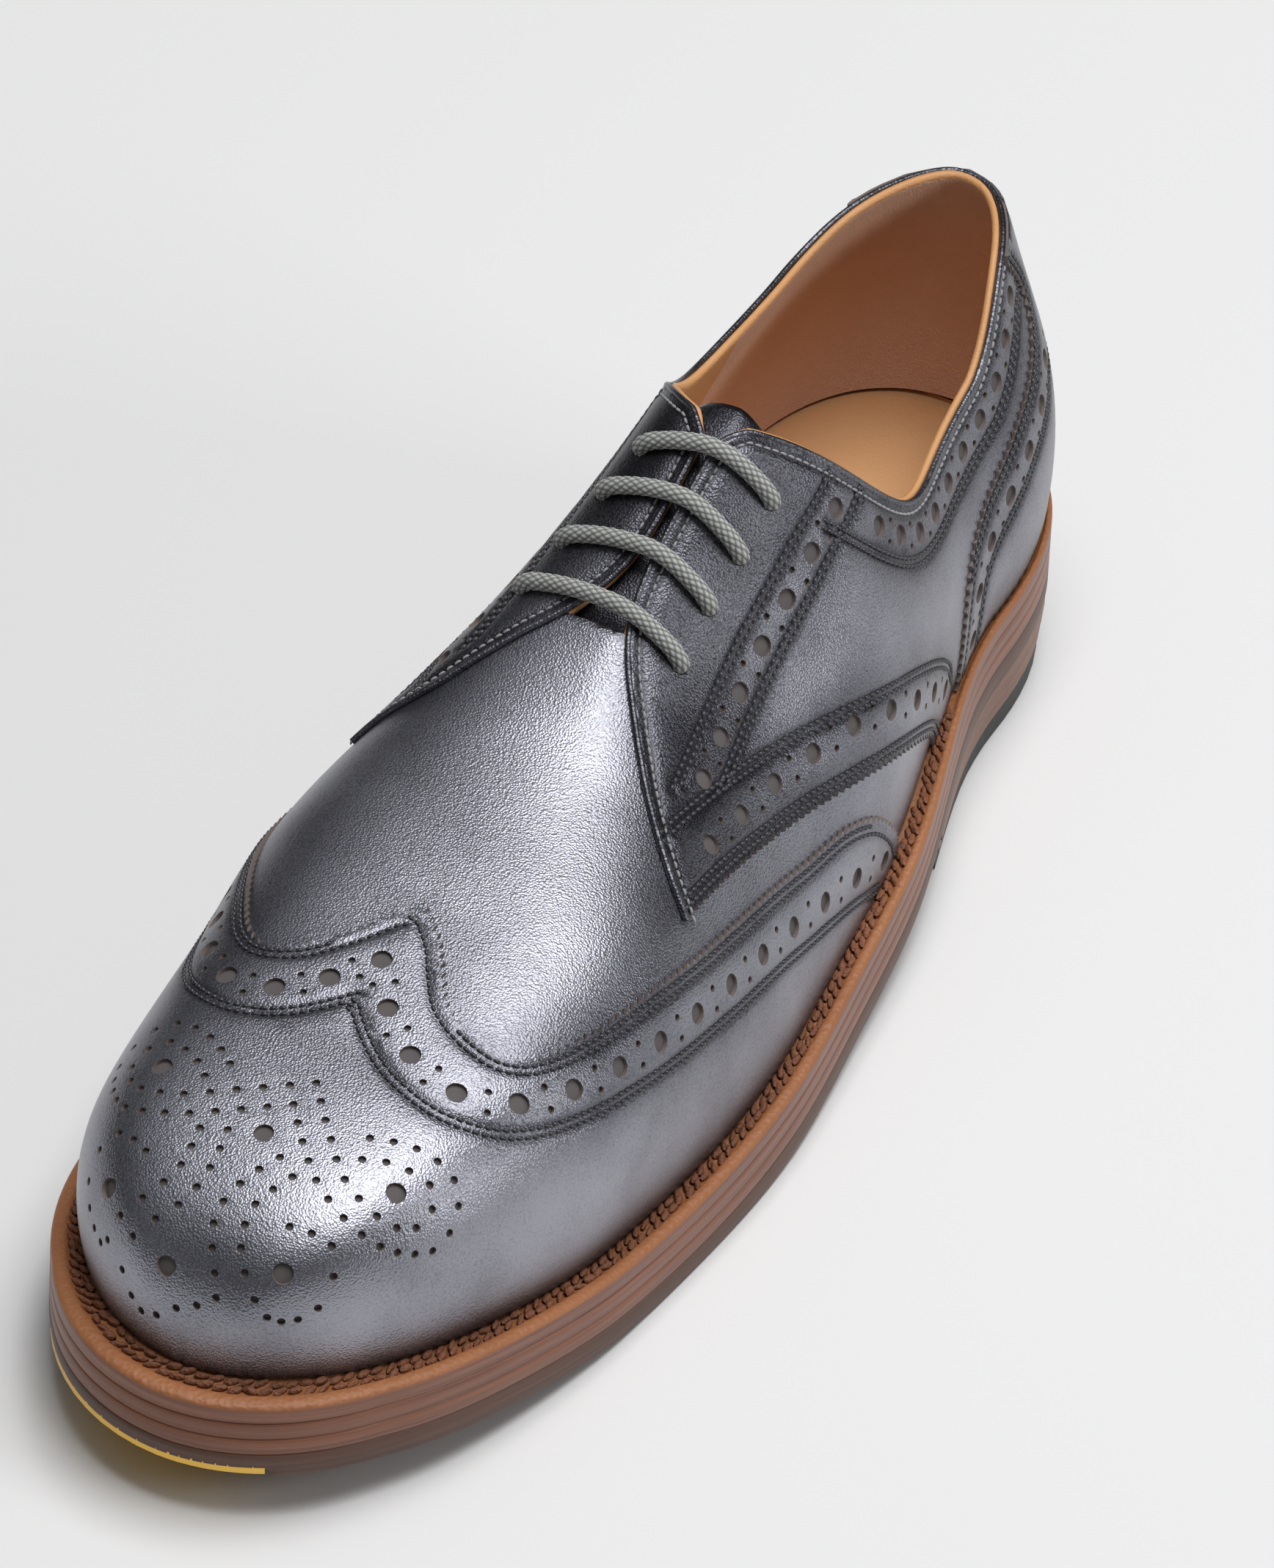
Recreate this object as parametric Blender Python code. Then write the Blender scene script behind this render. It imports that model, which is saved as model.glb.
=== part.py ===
"""Full brogue, left shoe: an open-laced leather shoe on a welted leather sole with a stacked heel.

Lengths are millimetres until a mesh is made, which is in metres. s runs from the back of the
heel to the toe, x points to the outer side of the foot, and z points up from the floor.
"""
import bmesh
import bpy
import numpy as np

MM = 0.001

# Driving sizes of the last, the form that the upper is pulled over
LENGTH = 292.0          # heel back to toe tip, along the line where the upper meets the welt
HEEL_AXIS = 45.0        # the heel's sections fan about an upright axis here
TOE_START = 222.0       # the outline rounds off to the toe tip from here
TOE_POWER = 1.95        # 2 is an ellipse, more is squarer
BOX_START = 250.0       # the ridge rounds down to the toe tip from here
BOX_POWER = 2.5
BULGE_HEIGHT = 0.28     # share of a section's height where its wall stands out most
WALL = 2.0              # leather and lining together
GAP = 0.3               # clearance between pieces that meet

# One row for each section of the last: its centre line, half widths from there at the feather line,
# where the upper meets the welt, and the heights of that line and of the ridge.
PLAN_COLUMNS = "station centre medial lateral feather ridge".split()
PLAN = np.array([
    [45.0, -1.2, 30.7, 29.3, 29.0, 116.0],
    [75.0, 0.5, 30.6, 32.4, 26.8, 115.5],
    [105.0, 2.6, 26.2, 37.8, 23.0, 109.0],
    [135.0, 1.2, 29.4, 42.8, 19.0, 91.8],
    [165.0, 0.0, 38.2, 46.8, 16.5, 77.0],
    [195.0, -0.6, 43.0, 46.6, 15.3, 70.8],
    [222.0, -1.2, 41.0, 44.5, 16.6, 65.9],
    [250.0, -1.6, 41.5, 42.5, 20.2, 59.5],
    [275.0, -1.6, 43.4, 43.0, 23.6, 57.5],
    [292.0, -1.2, 44.4, 42.9, 25.4, 58.5],
])
# The same sections' walls on the two sides: bulge stands out beyond the feather line, shoulder and
# flat are shares of the half width where the wall turns over and where the top levels out.
WALL_COLUMNS = ["station", "medial_bulge", "medial_shoulder", "medial_flat",
                "lateral_bulge", "lateral_shoulder", "lateral_flat", "rise"]
WALLS = np.array([
    [45.0, 2.6, 0.66, 0.26, 2.6, 0.74, 0.36, 0.50],
    [75.0, 3.6, 0.74, 0.40, 2.0, 0.78, 0.32, 0.51],
    [105.0, 5.6, 0.93, 0.64, 1.3, 0.76, 0.24, 0.57],
    [135.0, 5.4, 1.02, 0.74, 0.8, 0.72, 0.14, 0.60],
    [165.0, 4.2, 1.03, 0.70, 1.6, 0.86, 0.32, 0.69],
    [195.0, 2.2, 0.99, 0.64, 2.4, 0.98, 0.53, 0.78],
    [222.0, 1.9, 0.96, 0.57, 3.0, 1.02, 0.61, 0.82],
    [250.0, 2.6, 0.98, 0.58, 3.0, 1.02, 0.63, 0.85],
    [275.0, 4.6, 1.03, 0.62, 3.0, 1.02, 0.63, 0.87],
    [292.0, 4.6, 1.05, 0.64, 3.0, 1.02, 0.62, 0.88],
])
# The section at the back of the heel, with its reach from the heel axis.
BACK = dict(reach=43.0, feather=31.0, ridge=116.0, bulge=4.0, shoulder=0.97, rise=0.52, flat=0.80)
FAN_POWER = 2.25        # roundness of the heel in plan

# Height of the topline on the two sides, and the facings that close over the instep.
TOPLINE_COLUMNS = "station medial lateral".split()
TOPLINE = np.array([
    [0.0, 90.5, 90.5],
    [20.0, 86.8, 84.6],
    [45.0, 85.2, 77.2],
    [65.0, 84.6, 74.8],
    [80.0, 86.6, 77.0],
    [92.0, 94.6, 88.4],
    [101.0, 102.4, 99.0],
    [107.0, 106.0, 104.6],
    [110.0, 106.8, 106.6],
])
FACING_RISE = 80.0      # where the topline starts to climb to them
FACING_TOP = 109.0      # where they begin
SLOT_END = 152.0        # where they run together over the vamp
SLOT_HALF = 2.0         # half the gap between them

# How far the sole's edge stands out beyond the feather line, and its layers from the welt down
EDGE_COLUMNS = "station beyond".split()
EDGE = np.array([
    [0.0, 2.6],
    [60.0, 2.8],
    [105.0, 4.2],
    [165.0, 5.4],
    [235.0, 5.8],
    [275.0, 6.4],
    [292.0, 8.4],
])
WELT = 3.6
WELT_INSIDE = 8.0       # how far the welt reaches in under the upper
MIDSOLE = 7.1
OUTSOLE = 4.2
INSOLE = 3.0
INSOLE_INSET = 3.2      # keeps the insole clear of the upper's wall
TOE_PLATE = 1.6
PLATE_LATERAL = 287.5   # where the toe plate starts on the two sides, along the feather line
PLATE_MEDIAL = 276.0
PLATE_ROWS = 10
HEEL_BREAST = 85.0
HEEL_TAPER = 1.5        # how far the heel draws in from seat to floor
HEEL_SHARES = (1.0, 0.70, 0.40, 0.0)   # heights of the heel's joints between outsole and floor

TONGUE = 2.0
TONGUE_GAP = 1.2        # clearance beneath the facings, more than elsewhere because both walls bend
TONGUE_TOP = 100.0
TONGUE_FRONT = 160.0
TONGUE_HALF = 17.0

LACE = 3.9
# One row for each lace bar: its eyelets' distances from the heel and from the centre line.
LACE_COLUMNS = "lateral_station lateral_reach medial_station medial_reach".split()
LACE_BARS = np.array([
    [113.0, 12.0, 116.4, 11.4],
    [122.8, 11.8, 124.4, 13.9],
    [132.4, 11.6, 133.2, 16.5],
    [143.4, 12.6, 142.0, 19.2],
])


def spline(x, y, at):
    """Cubic spline through the points, level at its first point and free at its last."""
    n = len(x)
    h = np.diff(x)
    slope = np.diff(y) / h
    a = np.zeros((n, n))
    b = np.zeros(n)
    a[0, :2] = 2 * h[0], h[0]
    b[0] = 6 * slope[0]
    for i in range(1, n - 1):
        a[i, i - 1:i + 2] = h[i - 1], 2 * (h[i - 1] + h[i]), h[i]
        b[i] = 6 * (slope[i] - slope[i - 1])
    a[-1, -1] = 1.0
    m = np.linalg.solve(a, b)
    i = np.clip(np.searchsorted(x, at) - 1, 0, n - 2)
    left, right = x[i + 1] - at, at - x[i]
    bend = (m[i] * left**3 + m[i + 1] * right**3) / (6 * h[i])
    return bend + (y[i] / h[i] - m[i] * h[i] / 6) * left + (y[i + 1] / h[i] - m[i + 1] * h[i] / 6) * right


def section_value(name, s):
    """One column of the section tables at distances s from the heel."""
    table, columns = (PLAN, PLAN_COLUMNS) if name in PLAN_COLUMNS else (WALLS, WALL_COLUMNS)
    s = np.clip(np.asarray(s, float), table[0, 0], None)
    return spline(table[:, 0], table[:, columns.index(name)], s)


def feather_height(s):
    """Height of the line where the upper meets the welt, from heel to toe."""
    s = np.asarray(s, float)
    x = np.concatenate([[HEEL_AXIS - BACK["reach"]], PLAN[:, 0]])
    y = np.concatenate([[BACK["feather"]], PLAN[:, PLAN_COLUMNS.index("feather")]])
    return spline(x, y, np.clip(s, x[0], x[-1] + 12.0))


def rounding(s, start, power):
    """1 up to start, then a superellipse down to 0 at the toe tip."""
    q = np.clip((s - start) / (LENGTH - start), 0, 1)
    return (1 - q**power) ** (1 / power)


def station(tau):
    """Distance along the shoe: tau 0 to 1 fans round the heel, 1 to 2 is the middle, 2 to 3 the toe."""
    middle = HEEL_AXIS + (TOE_START - HEEL_AXIS) * np.clip(tau - 1, 0, 1)
    return middle + (LENGTH - TOE_START) * np.sin(np.clip(tau - 2, 0, 1) * np.pi / 2)


def tau_at(s):
    """The tau of a distance s, ahead of the heel axis."""
    toe = 2 + np.arcsin(np.clip((s - TOE_START) / (LENGTH - TOE_START), 0, 1)) * 2 / np.pi
    return np.where(s <= TOE_START, 1 + (s - HEEL_AXIS) / (TOE_START - HEEL_AXIS), toe)


def curve5(p, w):
    """Clamped cubic B-spline of five control points with one inner knot at the middle."""
    w = np.clip(w, 0, 1)
    u = np.where(w < 0.5, 2 * w, 2 - 2 * w)
    basis = [(1 - u) ** 3, u * (3 - 4.5 * u + 1.75 * u**2), u**2 * (1.5 - u), u**3 / 4, np.zeros_like(u)]
    first = sum(b * q for b, q in zip(basis, p))
    second = sum(b * q for b, q in zip(basis, p[::-1]))
    return np.where(w < 0.5, first, second)


def last(tau, side, w):
    """Point of the last: w runs from the feather line (0) to the ridge (1), side is 1 lateral, -1 medial."""
    tau, side, w = (np.asarray(v, float) for v in np.broadcast_arrays(tau, side, w))
    s = station(tau)
    phi = np.clip(tau, 0, 1) * np.pi / 2
    fan = tau < 1
    across = np.sin(phi)
    wide = rounding(s, TOE_START, TOE_POWER)
    tall = rounding(s, BOX_START, BOX_POWER)
    half, bulge, shoulder, flat = (
        np.where(side > 0, section_value("lateral" + k, s), section_value("medial" + k, s))
        for k in ("", "_bulge", "_shoulder", "_flat"))
    half = half * wide
    rise = section_value("rise", s)
    radii = [half, half + bulge * wide, half * shoulder, half * flat, np.zeros_like(half)]
    reach = BACK["reach"]
    backs = [reach, reach + BACK["bulge"], reach * BACK["shoulder"], reach * BACK["flat"], 0.0]
    for k in range(4):
        swept = (np.abs(across / np.maximum(radii[k], 1e-6)) ** FAN_POWER
                 + np.abs(np.cos(phi) / backs[k]) ** FAN_POWER) ** (-1 / FAN_POWER)
        radii[k] = np.where(fan, swept, radii[k])
    mix = across**2
    foot = np.where(fan, feather_height(HEEL_AXIS - radii[0] * np.cos(phi)), feather_height(s))
    ridge = np.where(fan, BACK["ridge"] * (1 - mix) + section_value("ridge", s) * mix, section_value("ridge", s))
    rise = np.where(fan, BACK["rise"] * (1 - mix) + rise * mix, rise)
    height = (ridge - foot) * tall
    heights = [foot, foot + BULGE_HEIGHT * height, foot + rise * height, foot + height, foot + height]
    r = curve5(radii, w)
    z = curve5(heights, w)
    x = section_value("centre", s) + side * r * np.where(fan, across, 1.0)
    return np.stack([x, np.where(fan, HEEL_AXIS - r * np.cos(phi), s), z], -1)


def normal(tau, side, w):
    """Outward unit normal of the last, from small steps along and across it."""
    d = 2e-3
    along = last(np.clip(tau + d, 0, 2.995), side, w) - last(np.clip(tau - d, 0, 2.995), side, w)
    up = last(tau, side, np.clip(w + d, 0, 1)) - last(tau, side, np.clip(w - d, 0, 1))
    n = np.cross(along, up) * np.reshape(side, np.shape(side) + (1,))
    return n / np.maximum(np.linalg.norm(n, axis=-1, keepdims=True), 1e-9)


def top_edge(tau, side):
    """The w of the upper's edge: the topline behind, half the slot between the facings, then the ridge."""
    fine = np.linspace(0, 1, 400)
    edges = []
    for t in tau:
        path = last(np.full(400, t), side, fine)
        s = path[0, 1] if t >= 1 else HEEL_AXIS - BACK["reach"] * np.cos(t * np.pi / 2)
        column = TOPLINE_COLUMNS.index("lateral" if side > 0 else "medial")
        line = spline(TOPLINE[:, 0], TOPLINE[:, column], np.clip(s, 0, TOPLINE[-1, 0]))
        slot = SLOT_HALF * np.sqrt(np.clip((SLOT_END - s) / 12.0, 0, 1))
        beside = np.abs(path[:, 0] - section_value("centre", path[0, 1])) > slot
        keep = beside if s > FACING_TOP else path[:, 2] < line
        edges.append(1.0 if s >= SLOT_END else fine[keep][-1])
    return np.array(edges)


def sole_edge(lateral_tau, medial_tau, beyond):
    """Lateral and medial side of an outline in plan, beyond the feather line by a distance for each s."""
    lateral = last(lateral_tau, 1.0, 0.0)
    medial = last(medial_tau, -1.0, 0.0)
    loop = np.concatenate([lateral, medial[-2:0:-1]])[:, :2]
    step = np.roll(loop, -1, 0) - np.roll(loop, 1, 0)
    out = np.stack([step[:, 1], -step[:, 0]], 1) / np.linalg.norm(step, axis=1, keepdims=True)
    loop = loop + out * np.reshape(beyond(loop[:, 1]), (-1, 1))
    n = len(lateral_tau)
    return loop[:n], np.concatenate([loop[:1], loop[:n - 1:-1], loop[n - 1:n]])


def edge_beyond(s):
    """How far the sole's edge stands out beyond the feather line."""
    return np.interp(s, EDGE[:, 0], EDGE[:, EDGE_COLUMNS.index("beyond")])


def outsole_top(s):
    """Height of the joint between midsole and outsole."""
    return feather_height(s) - WELT - MIDSOLE - 3 * GAP


def outsole_bottom(s):
    """Height of the tread, level where the forefoot rests on the floor."""
    return np.maximum(outsole_top(s) - OUTSOLE, 0.0)


# Meshes

def stations(first, final, step=4.5):
    """Values of tau from one distance to another, evenly along the shoe."""
    return tau_at(np.linspace(first, final, int(np.ceil((final - first) / step)) + 1))


HEEL_TAU = np.linspace(0, 1, 13)
TOE_TAU = np.linspace(2, 3, 20)
ALL_TAU = np.concatenate([HEEL_TAU, stations(HEEL_AXIS, TOE_START)[1:], TOE_TAU[1:]])
EDGE_SIDES = sole_edge(ALL_TAU, ALL_TAU, edge_beyond)
EDGE_POINTS = np.concatenate(EDGE_SIDES)
MIDDLE = (EDGE_POINTS.max(0) + EDGE_POINTS.min(0)) / 2


def to_metres(points):
    """Shoe distances to the part's frame: the toe towards -Y, the sole's middle over the origin."""
    p = np.asarray(points, float).reshape(-1, 3)
    return np.stack([p[:, 0] - MIDDLE[0], MIDDLE[1] - p[:, 1], p[:, 2]], 1) * MM


def material(name, colour, roughness, metallic=0.0):
    """A plain Principled material."""
    m = bpy.data.materials.new(name)
    m.use_nodes = True
    shader = m.node_tree.nodes["Principled BSDF"]
    shader.inputs["Base Color"].default_value = (*colour, 1.0)
    shader.inputs["Roughness"].default_value = roughness
    shader.inputs["Metallic"].default_value = metallic
    return m


def add_object(name, points, faces, look):
    """A mesh object from points in mm, with doubles merged and faces turned outwards."""
    mesh = bpy.data.meshes.new(name)
    mesh.from_pydata(to_metres(points).tolist(), [], faces)
    work = bmesh.new()
    work.from_mesh(mesh)
    bmesh.ops.remove_doubles(work, verts=work.verts, dist=1e-6)
    bmesh.ops.recalc_face_normals(work, faces=work.faces)
    work.to_mesh(mesh)
    work.free()
    mesh.materials.append(look)
    part = bpy.data.objects.new(name, mesh)
    bpy.context.scene.collection.objects.link(part)
    return part


def thicken(part, thickness):
    """Gives an open sheet a wall inwards from its outer face."""
    wall = part.modifiers.new("wall", "SOLIDIFY")
    wall.thickness = thickness * MM
    wall.offset = -1.0
    wall.use_even_offset = True
    wall.use_rim = True


def grid_faces(rows, columns, start=0):
    """Quads of a grid of rows by columns of points."""
    return [(start + i * columns + j, start + i * columns + j + 1, start + (i + 1) * columns + j + 1,
             start + (i + 1) * columns + j) for i in range(rows - 1) for j in range(columns - 1)]


def slab(name, sides, top, bottom, look):
    """A closed layer between two side lines (x, s), with top and bottom heights as functions of s."""
    lines = [np.column_stack([side, height(side[:, 1])]) for height in (top, bottom) for side in sides]
    n = len(sides[0])
    faces = []
    for k in range(n - 1):
        for one, two in ((0, 1), (2, 3), (0, 2), (1, 3)):
            faces.append((one * n + k, one * n + k + 1, two * n + k + 1, two * n + k))
    for k in (0, n - 1):
        faces.append((k, n + k, 3 * n + k, 2 * n + k))
    return add_object(name, np.concatenate(lines), faces, look)


def ring(name, outer, inner, top, bottom, look):
    """A closed ring between two pairs of side lines."""
    loops = []
    for sides in (outer, inner):
        plan = np.concatenate([sides[0], sides[1][-2:0:-1]])
        loops += [np.column_stack([plan, height(plan[:, 1])]) for height in (top, bottom)]
    n = len(loops[0])
    faces = []
    for k in range(n):
        after = (k + 1) % n
        for one, two in ((0, 1), (2, 3), (0, 2), (1, 3)):
            faces.append((one * n + k, one * n + after, two * n + after, two * n + k))
    return add_object(name, np.concatenate(loops), faces, look)


def build_upper(look):
    """The hollow upper, open at the collar, between the facings and underneath."""
    rows = 11
    turns = (HEEL_AXIS, FACING_RISE, FACING_TOP + 4.0, SLOT_END, TOE_START)
    steps = (4.5, 2.0, 4.0, 4.5)
    middle = [stations(*turns[k:k + 2], step)[1:] for k, step in enumerate(steps)]
    tau = np.concatenate([HEEL_TAU, *middle, TOE_TAU[1:]])
    points, faces = [], []
    for side in (1.0, -1.0):
        top = top_edge(tau, side)
        share = np.linspace(0, 1, rows)
        sheet = last(tau[:, None], side, top[:, None] * share[None])
        faces += grid_faces(len(tau), rows, len(tau) * rows * len(points))
        points.append(sheet.reshape(-1, 3))
    thicken(add_object("upper", np.concatenate(points), faces, look), WALL)


def wall_share(tau, side, reach):
    """The w at which a section is a given reach from its centre line, on its upper half."""
    w = np.linspace(0.4, 1, 600)
    path = last(np.full(600, tau), side, w)
    return np.interp(-reach, -np.abs(path[:, 0] - section_value("centre", path[0, 1])), w)


def build_tongue(look):
    """A strip beneath the facings that stands a little above them."""
    tau = stations(TONGUE_TOP, TONGUE_FRONT, 4.0)
    reach = TONGUE_HALF * np.linspace(-1, 1, 11)
    points = []
    for t in tau:
        side = np.where(reach < 0, -1.0, 1.0)
        w = np.array([wall_share(t, k, abs(r)) for k, r in zip(side, reach)])
        here = np.full(len(reach), t)
        points.append(last(here, side, w) - normal(here, side, np.minimum(w, 0.998)) * (WALL + TONGUE_GAP))
    strip = add_object("tongue", np.concatenate(points), grid_faces(len(tau), len(reach)), look)
    thicken(strip, TONGUE)


def build_lace(number, row, look):
    """One bar of lace from eyelet to eyelet, lying on the facings."""
    bar = dict(zip(LACE_COLUMNS, row))
    reach = np.linspace(bar["lateral_reach"], -bar["medial_reach"], 13)
    s = np.linspace(bar["lateral_station"], bar["medial_station"], 13)
    points = []
    for r, d in zip(reach, s):
        side = np.array(1.0 if r > 0 else -1.0)
        tau = tau_at(d)
        w = wall_share(float(tau), side, abs(r))
        points.append(last(tau, side, w) + normal(tau, side, min(w, 0.998)) * (LACE / 2 + GAP))
    curve = bpy.data.curves.new(f"lace_bar_{number}", "CURVE")
    curve.dimensions = "3D"
    curve.bevel_depth = LACE / 2 * MM
    curve.bevel_resolution = 2
    curve.use_fill_caps = True
    line = curve.splines.new("POLY")
    line.points.add(len(points) - 1)
    for point, place in zip(line.points, to_metres(points)):
        point.co = (*place, 1.0)
    curve.materials.append(look)
    bar_object = bpy.data.objects.new(f"lace_bar_{number}", curve)
    bpy.context.scene.collection.objects.link(bar_object)


def plate_rows(edge):
    """Values of tau along one side of the outsole, with two close rows where the toe plate starts."""
    before = ALL_TAU[ALL_TAU < TOE_TAU[1]]
    to_plate = np.linspace(TOE_TAU[1], tau_at(edge - GAP), 12)
    return np.concatenate([before, to_plate, np.linspace(tau_at(edge), 3, PLATE_ROWS)])


def build_sole(welt_look, leather_look, plate_look, insole_look):
    """Insole, welt, midsole, and outsole with its toe plate."""
    inset = sole_edge(ALL_TAU, ALL_TAU, lambda s: np.full(len(s), -INSOLE_INSET))
    slab("insole", inset, lambda s: feather_height(s) + INSOLE, feather_height, insole_look)
    inner = sole_edge(ALL_TAU, ALL_TAU, lambda s: np.full(len(s), -WELT_INSIDE))
    ring("welt", EDGE_SIDES, inner, lambda s: feather_height(s) - GAP, lambda s: feather_height(s) - GAP - WELT,
         welt_look)
    slab("midsole", EDGE_SIDES, lambda s: feather_height(s) - WELT - 2 * GAP, lambda s: outsole_top(s) + GAP,
         leather_look)

    sides = sole_edge(plate_rows(PLATE_LATERAL), plate_rows(PLATE_MEDIAL), edge_beyond)
    recess = np.zeros(len(sides[0]))
    recess[-PLATE_ROWS:] = TOE_PLATE + GAP
    slab("outsole", sides, outsole_top, lambda s: outsole_bottom(s) + recess, leather_look)
    sides = sole_edge(plate_rows(PLATE_LATERAL + GAP), plate_rows(PLATE_MEDIAL + GAP), edge_beyond)
    plate = [line[-PLATE_ROWS:] for line in sides]
    slab("toe_plate", plate, lambda s: outsole_bottom(s) + TOE_PLATE, outsole_bottom, plate_look)


def build_heel(lift_look, top_piece_look):
    """The heel's lifts and top piece, each drawn in a little more than the one above."""
    tau = np.sort(np.append(ALL_TAU, tau_at(HEEL_BREAST)))
    behind = tau <= tau_at(HEEL_BREAST)
    looks = {"heel_lift_1": lift_look, "heel_lift_2": lift_look, "top_piece": top_piece_look}
    for k, name in enumerate(looks):
        above, below = HEEL_SHARES[k:k + 2]
        drawn_in = HEEL_TAPER * (1 - (above + below) / 2)
        sides = [line[behind] for line in sole_edge(tau, tau, lambda s: edge_beyond(s) - drawn_in)]
        slab(name, sides, lambda s: above * outsole_bottom(s) - GAP, lambda s: below * outsole_bottom(s),
             looks[name])


def build():
    """Clears the scene and makes every piece of the shoe."""
    for old in list(bpy.data.objects):
        bpy.data.objects.remove(old, do_unlink=True)
    leather = material("slate_leather", (0.072, 0.076, 0.098), 0.34)
    tan = material("tan_leather", (0.42, 0.19, 0.075), 0.6)
    welt = material("welt_leather", (0.45, 0.18, 0.06), 0.6)
    sole = material("sole_leather", (0.21, 0.105, 0.065), 0.5)
    brass = material("toe_plate_brass", (0.75, 0.44, 0.11), 0.4, 0.8)
    rubber = material("top_piece_rubber", (0.12, 0.10, 0.085), 0.7)
    cord = material("lace_cord", (0.16, 0.16, 0.155), 0.8)
    build_upper(leather)
    build_tongue(leather)
    build_sole(welt, sole, brass, tan)
    build_heel(sole, rubber)
    for number, row in enumerate(LACE_BARS, 1):
        build_lace(number, row, cord)


build()
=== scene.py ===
"""Looks of the left full brogue: leather panels, stitching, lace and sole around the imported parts."""
import bpy
import numpy as np
from mathutils import Matrix
from mathutils.geometry import delaunay_2d_cdt


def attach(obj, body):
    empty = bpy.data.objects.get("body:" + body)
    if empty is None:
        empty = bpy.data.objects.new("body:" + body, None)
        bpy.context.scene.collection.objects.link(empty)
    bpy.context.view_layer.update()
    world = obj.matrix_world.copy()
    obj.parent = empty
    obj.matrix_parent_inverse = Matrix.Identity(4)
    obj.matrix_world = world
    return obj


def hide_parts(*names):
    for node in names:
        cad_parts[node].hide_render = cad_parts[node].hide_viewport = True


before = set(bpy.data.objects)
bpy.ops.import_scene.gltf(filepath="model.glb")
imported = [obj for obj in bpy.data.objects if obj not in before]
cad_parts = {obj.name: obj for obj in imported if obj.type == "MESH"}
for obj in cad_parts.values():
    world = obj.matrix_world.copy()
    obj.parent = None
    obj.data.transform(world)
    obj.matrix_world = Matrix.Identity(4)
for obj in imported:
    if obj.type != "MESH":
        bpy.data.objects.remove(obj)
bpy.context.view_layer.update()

# Studio
# A pale paper floor, one wide overhead softbox and a weaker side panel in a dark room,
# and a long lens that looks down on the toe and the outer side.
CAMERA_PLACE = np.array([0.9745, -1.9676, 1.9248])
CAMERA_AIM = np.array([-0.0032, 0.0228, 0.0342])
CAMERA_ROLL = 3.03
CAMERA_LENS = 463.75
CAMERA_SENSOR = 36.0
ROOM_TINT = (0.97, 0.98, 1.0, 1.0)
ROOM_FADE = {"From Min": 0.5, "From Max": 0.95, "To Min": 0.035, "To Max": 0.36}
FLOOR_HALF = 3.0
FLOOR_DROP = 0.0002


def unit(v):
    """Vectors along the last axis, scaled to length 1."""
    return v / np.maximum(np.linalg.norm(v, axis=-1, keepdims=True), 1e-12)


def aim_matrix(place, target, roll_deg=0.0):
    """World matrix of a camera or lamp at place that looks at target, turned about its own axis."""
    back = unit(place - target)
    right = unit(np.cross([0.0, 0.0, 1.0], back))
    up = np.cross(back, right)
    c, s = np.cos(np.radians(roll_deg)), np.sin(np.radians(roll_deg))
    m = np.eye(4)
    m[:3] = np.stack([right * c + up * s, up * c - right * s, back, place], -1)
    return Matrix(m.tolist())


def softbox(name, place, target, size, power):
    """A rectangular lamp at place that faces target."""
    lamp = bpy.data.lights.new(name, "AREA")
    lamp.shape = "RECTANGLE"
    lamp.size, lamp.size_y = size
    lamp.energy = power
    holder = bpy.data.objects.new(name, lamp)
    holder.matrix_world = aim_matrix(np.array(place), np.array(target))
    bpy.context.scene.collection.objects.link(holder)


def nodes(tree, *kinds):
    """New shader nodes of the named kinds."""
    return [tree.nodes.new("ShaderNode" + kind) for kind in kinds]


def put(node, values):
    """Constant values for a node's inputs, by socket name or number."""
    for socket, value in values.items():
        node.inputs[socket].default_value = value


def wire(tree, *pairs):
    """Links, each from an output to an input."""
    for source, target in pairs:
        tree.links.new(source, target)


def plain_material(name, colour, roughness):
    """A Principled material with constant values; returns it with its node tree and shader."""
    m = bpy.data.materials.new(name)
    m.use_nodes = True
    shader = m.node_tree.nodes["Principled BSDF"]
    put(shader, {"Base Color": (*colour, 1.0), "Roughness": roughness})
    return m, m.node_tree, shader


def mesh_piece(name, points, faces, looks, face_looks=None):
    """A smooth mesh piece from points in metres and faces as rows of indices, linked to the scene."""
    mesh = bpy.data.meshes.new(name)
    mesh.from_pydata(np.asarray(points).tolist(), [], [list(map(int, f)) for f in faces])
    for look in looks:
        mesh.materials.append(look)
    if face_looks is not None:
        mesh.polygons.foreach_set("material_index", np.asarray(face_looks, np.int32))
    mesh.polygons.foreach_set("use_smooth", np.ones(len(mesh.polygons), bool))
    mesh.update()
    piece = bpy.data.objects.new(name, mesh)
    bpy.context.scene.collection.objects.link(piece)
    return piece


lens = bpy.data.cameras.new("camera")
lens.sensor_fit = "HORIZONTAL"
lens.sensor_width = CAMERA_SENSOR
lens.lens = CAMERA_LENS
lens.clip_end = 20.0
camera = bpy.data.objects.new("camera", lens)
camera.matrix_world = aim_matrix(CAMERA_PLACE, CAMERA_AIM, CAMERA_ROLL)
bpy.context.scene.collection.objects.link(camera)
bpy.context.scene.camera = camera
softbox("overhead_softbox", (0.28, 0.24, 2.1), (0.28, 0.19, 0.0), (1.15, 1.5), 40.0)
softbox("side_panel", (1.8, 0.3, 0.85), (0.0, -0.05, 0.05), (0.9, 0.5), 9.0)
world = bpy.data.worlds.new("studio")
world.use_nodes = True
sky = world.node_tree.nodes["Background"]
direction, split, fade = nodes(world.node_tree, "TexCoord", "SeparateXYZ", "MapRange")
put(fade, ROOM_FADE)
put(sky, {"Color": ROOM_TINT})
wire(world.node_tree, (direction.outputs["Generated"], split.inputs[0]),
     (split.outputs["Z"], fade.inputs["Value"]), (fade.outputs["Result"], sky.inputs["Strength"]))
bpy.context.scene.world = world
bpy.context.scene.view_settings.view_transform = "Standard"
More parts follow.
